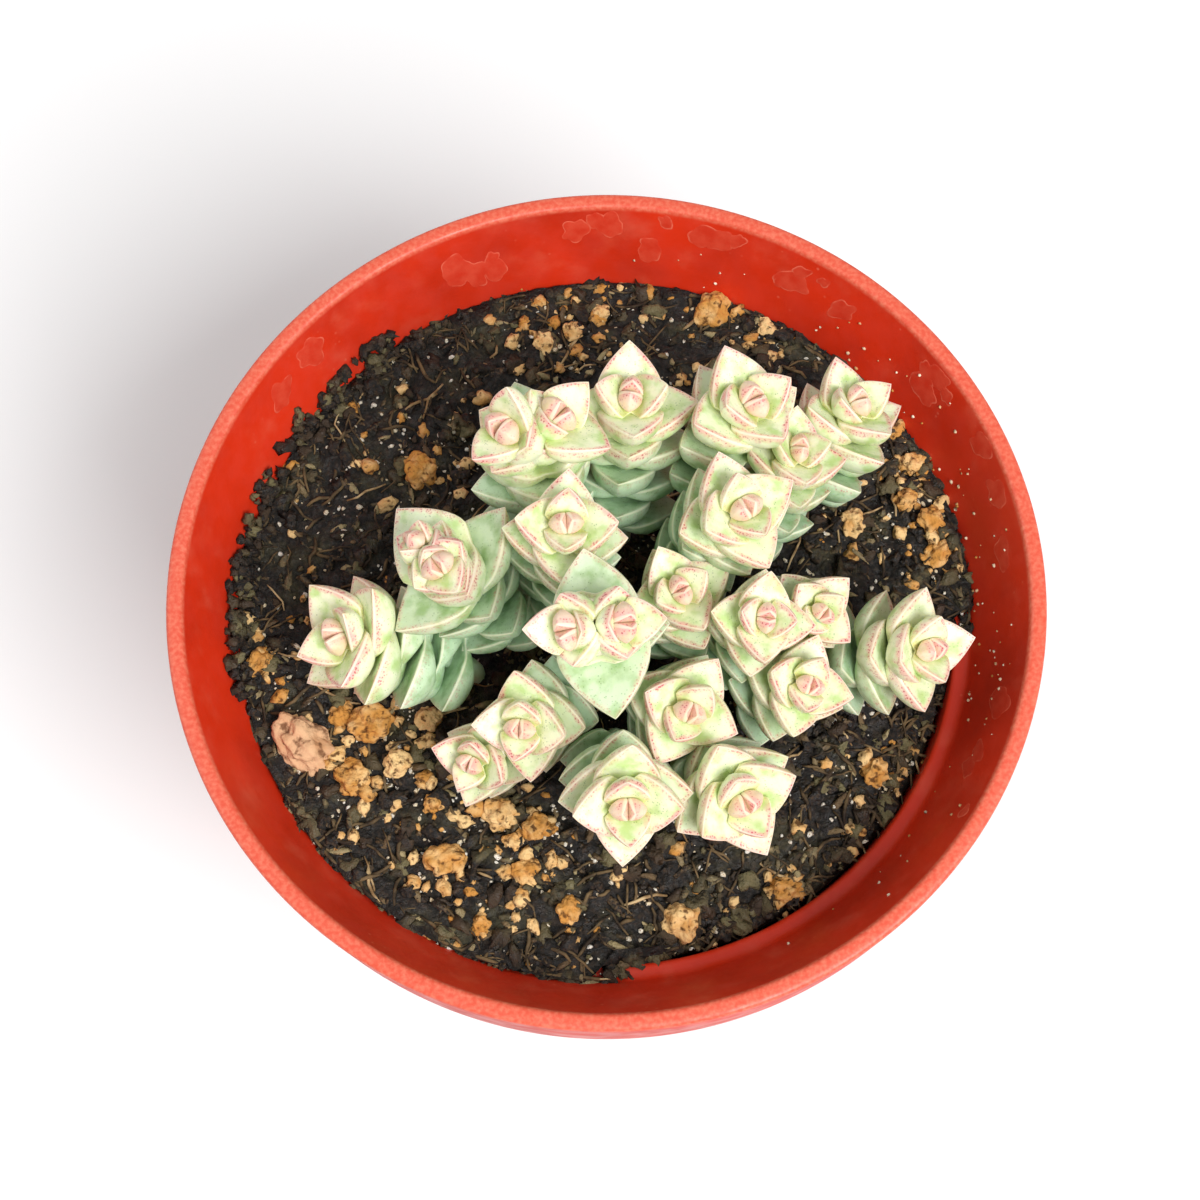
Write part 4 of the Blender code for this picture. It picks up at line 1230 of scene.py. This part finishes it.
class Pair:
    """Two opposite leaves grown together round the stem."""

    def __init__(self, path: Path, depth: float, rank: int, turn_deg: float, size: float) -> None:
        """Place the pair on its path and give it the size and rise of its age."""
        grow = GROWTH
        self.centre, self.axis = path.at(depth)
        toward = polar(1.0, turn_deg + 90.0 * (rank - 1))
        self.out = (toward - self.axis * toward.dot(self.axis)).normalized()
        self.across = self.axis.cross(self.out)
        self.rank = rank
        last = len(grow.lengths) - 1
        self.length = grow.lengths[min(rank, last)] * size
        if rank > last:
            self.length *= grow.old_shrink ** (rank - last)
        rise = math.radians(grow.rises_deg[rank] if rank <= last else grow.old_rise_deg)
        self.thick = self.length * (grow.bud_thick if rank == Rank.BUD.value else grow.thick)
        self.half_width = self.length * grow.half_width
        self.waist = grow.waists[min(rank, last)]
        self.core = grow.cores[min(rank, last)]
        self.root_height = grow.roots[min(rank, last)]
        fine = Rank.BUD.value < rank < Rank.FINE_UNTIL.value
        self.rings = grow.fine_rings if fine else grow.plain_rings
        self.rises = [rise, rise]
        self.shares = [1.0, 1.0]

    def place(self, out: float, across: float, up: float) -> Vector:
        """Give a point in the pair's own directions."""
        return self.centre + self.out * out + self.across * across + self.axis * up

    def midline(self, along: float, side: int) -> tuple[float, float, float]:
        """Say how far out and up the leaf's midline is, and its slope there."""
        out = 0.0
        up = 0.0
        angle = 0.0
        steps = GROWTH.midline_steps
        for step in range(steps):
            u = along * (step + 0.5) / steps
            angle = self.rises[side] * eased(u / GROWTH.bend_share) + math.radians(GROWTH.curl_deg) * u * u
            out += math.cos(angle) * along / steps
            up += math.sin(angle) * along / steps
        return out * self.length, up * self.length, angle

    def body(self, u: float) -> float:
        """Give the leaf's width at a distance from the stem, as a share of its greatest."""
        widest = GROWTH.widest
        body = 1.0 - max(0.0, (u - widest) / (1.0 - widest)) ** GROWTH.point_power
        return body * (self.waist + (1.0 - self.waist) * min(1.0, u / widest))

    def depth(self, u: float) -> float:
        """Give the leaf's thickness at its keel."""
        grow = GROWTH
        return self.thick * min(1.0, grow.neck + grow.neck_slope * u) * (1.0 - u ** grow.thin_power)

    def skin(self, side: int, u: float, quarter: int, more: float = 0.0) -> Vector:
        """Give a point on a leaf: u from stem to tip; quarter 0 and 2 are margins, 1 top, 3 keel."""
        share = self.shares[side]
        body = self.body(u)
        half_width = self.half_width * body * (1.0 - GROWTH.narrowing * (1.0 - share)) + more
        out, up, slope = self.midline(u, side)
        across = (1.0, 0.0, -1.0, 0.0)[quarter]
        lift = GROWTH.cup * self.half_width * body * across * across
        if quarter == 1:
            lift += more
        if quarter == 3:
            lift -= self.depth(u) + more
        toward = 1.0 if side == 0 else -1.0
        x = toward * (out * share + more * u - math.sin(slope) * lift)
        return self.place(x, toward * across * half_width, up * share + math.cos(slope) * lift)

    def root(self, side: int) -> list[Vector]:
        """Give the four corners on the stem that one leaf grows from."""
        core = self.core if side == 0 else -self.core
        half = self.root_height / 2
        return [self.place(0, core, 0), self.place(core, 0, half),
                self.place(0, -core, 0), self.place(core, 0, -half)]

    def test_tree(self, side: int, more: float, from_root: bool) -> tuple[BVHTree, list[Vector]]:
        """Make a search tree of one leaf's skin, with or without its root, and its points."""
        points = self.root(side) if from_root else []
        points += [self.skin(side, u, quarter, more) for u in self.rings for quarter in range(4)]
        points.append(self.skin(side, 1.0, 1, more))
        faces = []
        last = len(points) - 5
        for ring in range(0, last, 4):
            for quarter in range(4):
                low = ring + quarter
                after = ring + (quarter + 1) % 4
                faces += [(low, after, after + 4), (low, after + 4, low + 4)]
        faces += [(last + quarter, last + (quarter + 1) % 4, last + 4) for quarter in range(4)]
        return BVHTree.FromPolygons(points, faces), points

    def ring(self, s: float) -> tuple[int, float, float, float, float, float, float]:
        """Work out what every point of one ring of the full shape shares.

        Args:
            s: Where the ring is, from 1 at the first leaf's tip to -1 at the other's.

        Returns:
            The side, u, the midline's out, up and slope, the half-width and the thickness.
        """
        side = 0 if s >= 0.0 else 1
        u = abs(s)
        both = (self.shares[0] + self.shares[1]) / 2
        share = both + (self.shares[side] - both) * eased(u / 0.3)
        half_width = self.half_width * self.body(u) * (1.0 - GROWTH.narrowing * (1.0 - share))
        out, up, slope = self.midline(u, side)
        grow = GROWTH
        bulk = 1.0 if self.rank == Rank.BUD.value else grow.bulk
        thick = self.thick * bulk * min(1.0, grow.neck + grow.neck_slope * u) * (1.0 - u ** grow.tip_power)
        return side, u, out * self.shares[side], up * self.shares[side], slope, half_width, thick

    def draw(self, bm: bmesh.types.BMesh, layers: dict[str, object]) -> None:
        """Add the full shape of both leaves, drawn from a sphere whose poles are their tips.

        Args:
            bm: The shape that it joins.
            layers: The layers of the numbers that the finish reads.
        """
        grow = GROWTH
        made = bmesh.ops.create_uvsphere(bm, u_segments=grow.around, v_segments=grow.lengthwise, radius=1.0)
        rings: dict[float, tuple] = {}
        puff = grow.bud_puff if self.rank == Rank.BUD.value else grow.puff
        age = min(1.0, self.rank / grow.oldest)
        for vert in made["verts"]:
            s = round(vert.co.z, 5)
            if s not in rings:
                rings[s] = self.ring(s)
            side, u, out, up, slope, half_width, thick = rings[s]
            spoke = math.hypot(vert.co.x, vert.co.y)
            across = vert.co.x / spoke if spoke > 1e-6 else 0.0
            high = vert.co.y / spoke if spoke > 1e-6 else 0.0
            lift = grow.cup * half_width * across * across
            under = 0.0
            if high >= 0.0:
                lift += puff * thick * high ** 0.5
            else:
                ridge = grow.keel_share * (1.0 - abs(across))
                under = thick * ((1.0 - grow.keel_share) * (-high) ** grow.belly_power + ridge)
            lift -= under
            toward = 1.0 if side == 0 else -1.0
            x = toward * out - toward * math.sin(slope) * lift
            vert.co = self.place(x, across * half_width, up + math.cos(slope) * lift)
            vert[layers["rim"]] = (1.0 - abs(across)) * half_width + 0.7 * under
            vert[layers["keel"]] = 9.0 if high > -0.3 else abs(across) * half_width + 2.5 * (1.0 - u)
            vert[layers["along"]] = u
            vert[layers["age"]] = age


class Stem:
    """One leafy stem with one head, or forked near the top with two."""

    def __init__(self, name: str, foot: Point, heads: tuple, rng: Random) -> None:
        """Lay the stem's lines and set its leaf pairs along them."""
        grow = GROWTH
        self.name = name
        self.limbs: list[tuple[Path, list[Pair]]] = []
        bottom = Vector((foot[0], foot[1], grow.hole_floor_z))
        crown = Vector((foot[0], foot[1], grow.crown_z))
        tips = [Vector(head[0]) for head in heads]
        middle = sum(tips, Vector()) / len(tips)
        whole = Path([bottom] + curved_path(crown, Vector((0, 0, 1)), middle, grow.path_steps))
        if len(heads) == 1:
            self.limbs.append((whole, self.pairs_down(whole, 0, 0.0, heads[0][1], heads[0][2], rng)))
            return
        fine = Rank.FINE_UNTIL.value
        fork, direction = whole.at(grow.fork_back)
        lower = [p for p, back in zip(whole.points, whole.back) if back > grow.fork_back + grow.trunk_end]
        trunk = Path(lower + [fork])
        spread = tips[1] - tips[0]
        turn = math.degrees(math.atan2(spread.y, spread.x)) + 90.0
        size = max(head[2] for head in heads)
        self.limbs.append((trunk, self.pairs_down(trunk, fine, grow.fork_back, turn, size, rng)))
        for head, tip in zip(heads, tips):
            start = fork - direction * grow.branch_sink
            branch = Path(curved_path(start, direction, tip, grow.branch_steps))
            self.limbs.append((branch, self.pairs_down(branch, 0, 0.0, head[1], head[2], rng, fine)))

    def pairs_down(self, path: Path, first_rank: int, raise_by: float, turn: float, size: float,
                   rng: Random, limit: int | None = None) -> list[Pair]:
        """Set pairs down a path, each a quarter turn from the one above, until the soil.

        Args:
            path: The path.
            first_rank: The rank of the uppermost pair.
            raise_by: How far the path ends below the bud.
            turn: The turn of the first leaf pair in degrees.
            size: The head's size.
            rng: The draw.
            limit: The rank to stop at.

        Returns:
            The pairs, from the top down.
        """
        grow = GROWTH
        pairs = []
        rank = first_rank
        last = len(grow.node_depths) - 1
        while limit is None or rank < limit:
            depth = grow.node_depths[min(rank, last)] + grow.old_spacing * max(0, rank - last)
            depth = depth * (1.0 - grow.depth_grows + grow.depth_grows * size) - raise_by
            if depth > path.length - grow.end_margin or path.at(depth)[0].z < grow.lowest_pair_z:
                break
            jitter = rng.uniform(-grow.jitter_deg, grow.jitter_deg)
            growth = size
            if first_rank and rank < first_rank + 2:
                growth *= grow.fork_growth
            pairs.append(Pair(path, depth, rank, turn + jitter, growth))
            rank += 1
        return pairs

    def draw_core(self, bm: bmesh.types.BMesh, layers: dict[str, object], path: Path, top: Vector) -> None:
        """Add the bare stem inside the leaves.

        Args:
            bm: The shape that it joins.
            layers: The layers of the numbers that the finish reads.
            path: The stem's line.
            top: Where it ends, in the uppermost pair.
        """
        points = [point for point in path.points if point.z < top.z] + [top]
        made = bmesh.ops.create_circle(bm, cap_ends=True, segments=12, radius=GROWTH.stem_r,
                                       matrix=Matrix.Translation(points[0]))
        face = made["verts"][0].link_faces[0]
        for point in points[1:]:
            old = face
            face = bmesh.ops.extrude_discrete_faces(bm, faces=[old])["faces"][0]
            centre = sum((vert.co for vert in face.verts), Vector()) / len(face.verts)
            bmesh.ops.translate(bm, vec=point - centre, verts=face.verts)
        for vert in bm.verts:
            vert[layers["rim"]] = 5.0
            vert[layers["keel"]] = 9.0
            vert[layers["age"]] = 1.0

    def build(self, material: bpy.types.Material) -> None:
        """Build the stem and its leaves as one piece."""
        bm = bmesh.new()
        layers = {name: bm.verts.layers.float.new(name) for name in ("rim", "keel", "along", "age")}
        for path, pairs in self.limbs:
            part = bmesh.new()
            part_layers = {name: part.verts.layers.float.new(name) for name in layers}
            self.draw_core(part, part_layers, path, pairs[0].centre)
            for pair in pairs:
                pair.draw(part, part_layers)
            mesh = bpy.data.meshes.new("limb")
            part.to_mesh(mesh)
            part.free()
            bm.from_mesh(mesh)
            bpy.data.meshes.remove(mesh)
        finish_piece(self.name + "_leaves", bm, material, (self.name,))


def boxes_apart(one: list[Vector], other: list[Vector]) -> bool:
    """Say whether two lists of points have boxes that do not meet."""
    for axis in range(3):
        if max(point[axis] for point in one) < min(point[axis] for point in other):
            return True
        if max(point[axis] for point in other) < min(point[axis] for point in one):
            return True
    return False


class Leaf:
    """One leaf of a pair, for finding what it crosses."""

    def __init__(self, stem: int, limb: int, pair: Pair, side: int) -> None:
        """Note where the leaf belongs and take its first shape."""
        self.stem = stem
        self.limb = limb
        self.pair = pair
        self.side = side
        self.renew()

    def renew(self) -> None:
        """Take the leaf's shape again after a change."""
        self.blade, _ = self.pair.test_tree(self.side, GROWTH.clearance, False)
        self.whole, self.points = self.pair.test_tree(self.side, GROWTH.clearance, True)

    def crosses(self, other: "Leaf | Core") -> bool:
        """Say whether the leaf runs into another, whose root is left out on the same limb."""
        if boxes_apart(self.points, other.points):
            return False
        if self.stem == other.stem and self.limb == other.limb:
            return bool(self.blade.overlap(other.blade))
        return bool(self.whole.overlap(other.whole))

    def give_way(self, other: "Leaf | Core") -> bool:
        """Bend down under a leaf of the same limb, or shorten for any other; say if it moved."""
        if self.stem == other.stem and self.limb == other.limb:
            rises = self.pair.rises
            old = rises[self.side]
            rises[self.side] = max(math.radians(GROWTH.lowest_rise_deg), old - math.radians(GROWTH.bend_down_deg))
            return rises[self.side] != old
        least = GROWTH.fork_shortest if self.stem == other.stem else GROWTH.shortest
        shares = self.pair.shares
        if shares[self.side] <= least:
            return False
        shares[self.side] = max(least, shares[self.side] * GROWTH.shorten)
        return True


class Core:
    """The bare core of a limb, for finding the leaves that run into it."""

    def __init__(self, stem: int, path: Path, pairs: list[Pair]) -> None:
        """Take a plain tube along the path up to the uppermost pair."""
        self.stem = stem
        self.limb = None
        upper = pairs[0].centre
        points = [point for point in path.points if point.z < upper.z] + [upper]
        tube = []
        faces = []
        for index, point in enumerate(points):
            tube += [point + polar(GROWTH.stem_r, 90.0 * quarter) for quarter in range(4)]
            if index == 0:
                continue
            for quarter in range(4):
                low = 4 * index - 4 + quarter
                after = 4 * index - 4 + (quarter + 1) % 4
                faces += [(low, after, after + 4), (low, after + 4, low + 4)]
        self.points = tube
        self.whole = BVHTree.FromPolygons(tube, faces)


@dataclass
class Clump:
    """Every leafy stem: its foot on the soil and its one or two heads.

    A head is the bud's tip, the turn of the first leaf pair in degrees, and a size factor.
    """

    rows: tuple = (
        ("stem_01", (-5.5, 6.5), (((-11.2, 12.6, 97.0), 50.0, 1.2), ((-4.2, 14.4, 97.0), 52.0, 1.15))),
        ("stem_02", (2.0, 9.5), (((3.4, 18.4, 93.0), -5.0, 1.1),)),
        ("stem_03", (11.5, 10.0), (((17.1, 16.8, 94.0), 30.0, 1.15),)),
        ("stem_04", (23.0, 11.5), (((29.8, 19.5, 87.0), 20.0, 1.0),)),
        ("stem_05", (17.0, 6.5), (((22.3, 12.6, 90.0), 0.0, 0.88),)),
        ("stem_06", (7.5, 2.0), (((15.6, 3.2, 96.0), 115.0, 1.0),)),
        ("stem_07", (-6.0, -1.0), (((-4.0, 1.7, 97.0), 90.0, 0.95),)),
        ("stem_08", (0.5, -6.0), (((-4.7, -12.2, 102.0), 0.0, 1.08), ((2.2, -11.4, 102.0), 8.0, 1.06))),
        ("stem_09", (7.5, -4.5), (((8.2, -3.9, 90.0), 28.0, 0.9),)),
        ("stem_10", (-9.5, -3.6), (((-18.0, -2.4, 95.0), 130.0, 1.0), ((-21.3, 1.7, 94.0), 60.0, 0.92))),
        ("stem_11", (-15.5, -7.0), (((-30.7, -7.1, 86.0), 20.0, 1.12),)),
        ("stem_12", (13.0, -7.0), (((17.3, -8.4, 93.0), -8.0, 0.85),)),
        ("stem_13", (19.5, -1.5), (((24.0, -6.7, 88.0), 45.0, 0.75),)),
        ("stem_14", (16.5, -12.5), (((22.2, -14.7, 88.0), 75.0, 0.85),)),
        ("stem_15", (24.0, -8.0), (((36.2, -10.5, 86.0), 100.0, 1.0),)),
        ("stem_16", (5.5, -12.5), (((8.8, -17.8, 89.0), 62.0, 0.95),)),
        ("stem_17", (8.0, -19.5), (((14.5, -27.9, 88.0), 118.0, 1.03),)),
        ("stem_18", (0.5, -17.0), (((1.7, -28.9, 91.0), 88.0, 1.0),)),
        ("stem_19", (-5.0, -12.0), (((-10.0, -18.7, 87.0), 83.0, 0.9),)),
        ("stem_20", (-9.8, -16.5), (((-15.9, -21.5, 83.0), 65.0, 0.8),)),
    )

    def feet(self) -> list[Point]:
        """List where the stems stand."""
        return [row[1] for row in self.rows]

    def clear(self, stems: list[Stem]) -> None:
        """Shorten or lower the older of any two leaves that would cross."""
        leaves = []
        cores = []
        for number, stem in enumerate(stems):
            for limb, (path, pairs) in enumerate(stem.limbs):
                cores.append(Core(number, path, pairs))
                leaves += [Leaf(number, limb, pair, side) for pair in pairs for side in (0, 1)]
        for _ in range(GROWTH.clear_rounds):
            moved = set()
            for index, leaf in enumerate(leaves):
                for core in cores:
                    if core.stem != leaf.stem and leaf.crosses(core) and leaf.give_way(core):
                        moved.add(index)
                self.clear_one(leaves, index, moved)
            for index in moved:
                leaves[index].renew()
            if not moved:
                break

    def clear_one(self, leaves: list[Leaf], index: int, moved: set[int]) -> None:
        """Clear one leaf of every leaf after it in the list, and note what moved."""
        leaf = leaves[index]
        for second in range(index + 1, len(leaves)):
            other = leaves[second]
            if not leaf.crosses(other):
                continue
            order = (second, index) if other.pair.rank >= leaf.pair.rank else (index, second)
            for giver, keeper in (order, order[::-1]):
                if leaves[giver].give_way(leaves[keeper]):
                    moved.add(giver)
                    break

    def build(self) -> None:
        """Grow the stems, clear their leaves of each other and build them."""
        rng = Random(GROWTH.seed)
        stems = [Stem(name, foot, heads, rng) for name, foot, heads in self.rows]
        self.clear(stems)
        material = LeafFinish().material()
        for stem in stems:
            stem.build(material)


def main() -> None:
    """Build the studio, the pot, the soil and the plant, and log each piece's face count."""
    logging.basicConfig(level=logging.INFO, format="%(relativeCreated)6d ms %(message)s")
    Studio().build()
    pot = Pot()
    pot.build()
    clump = Clump()
    Soil(pot, clump.feet()).build()
    clump.build()


if __name__ == "__main__":
    main()
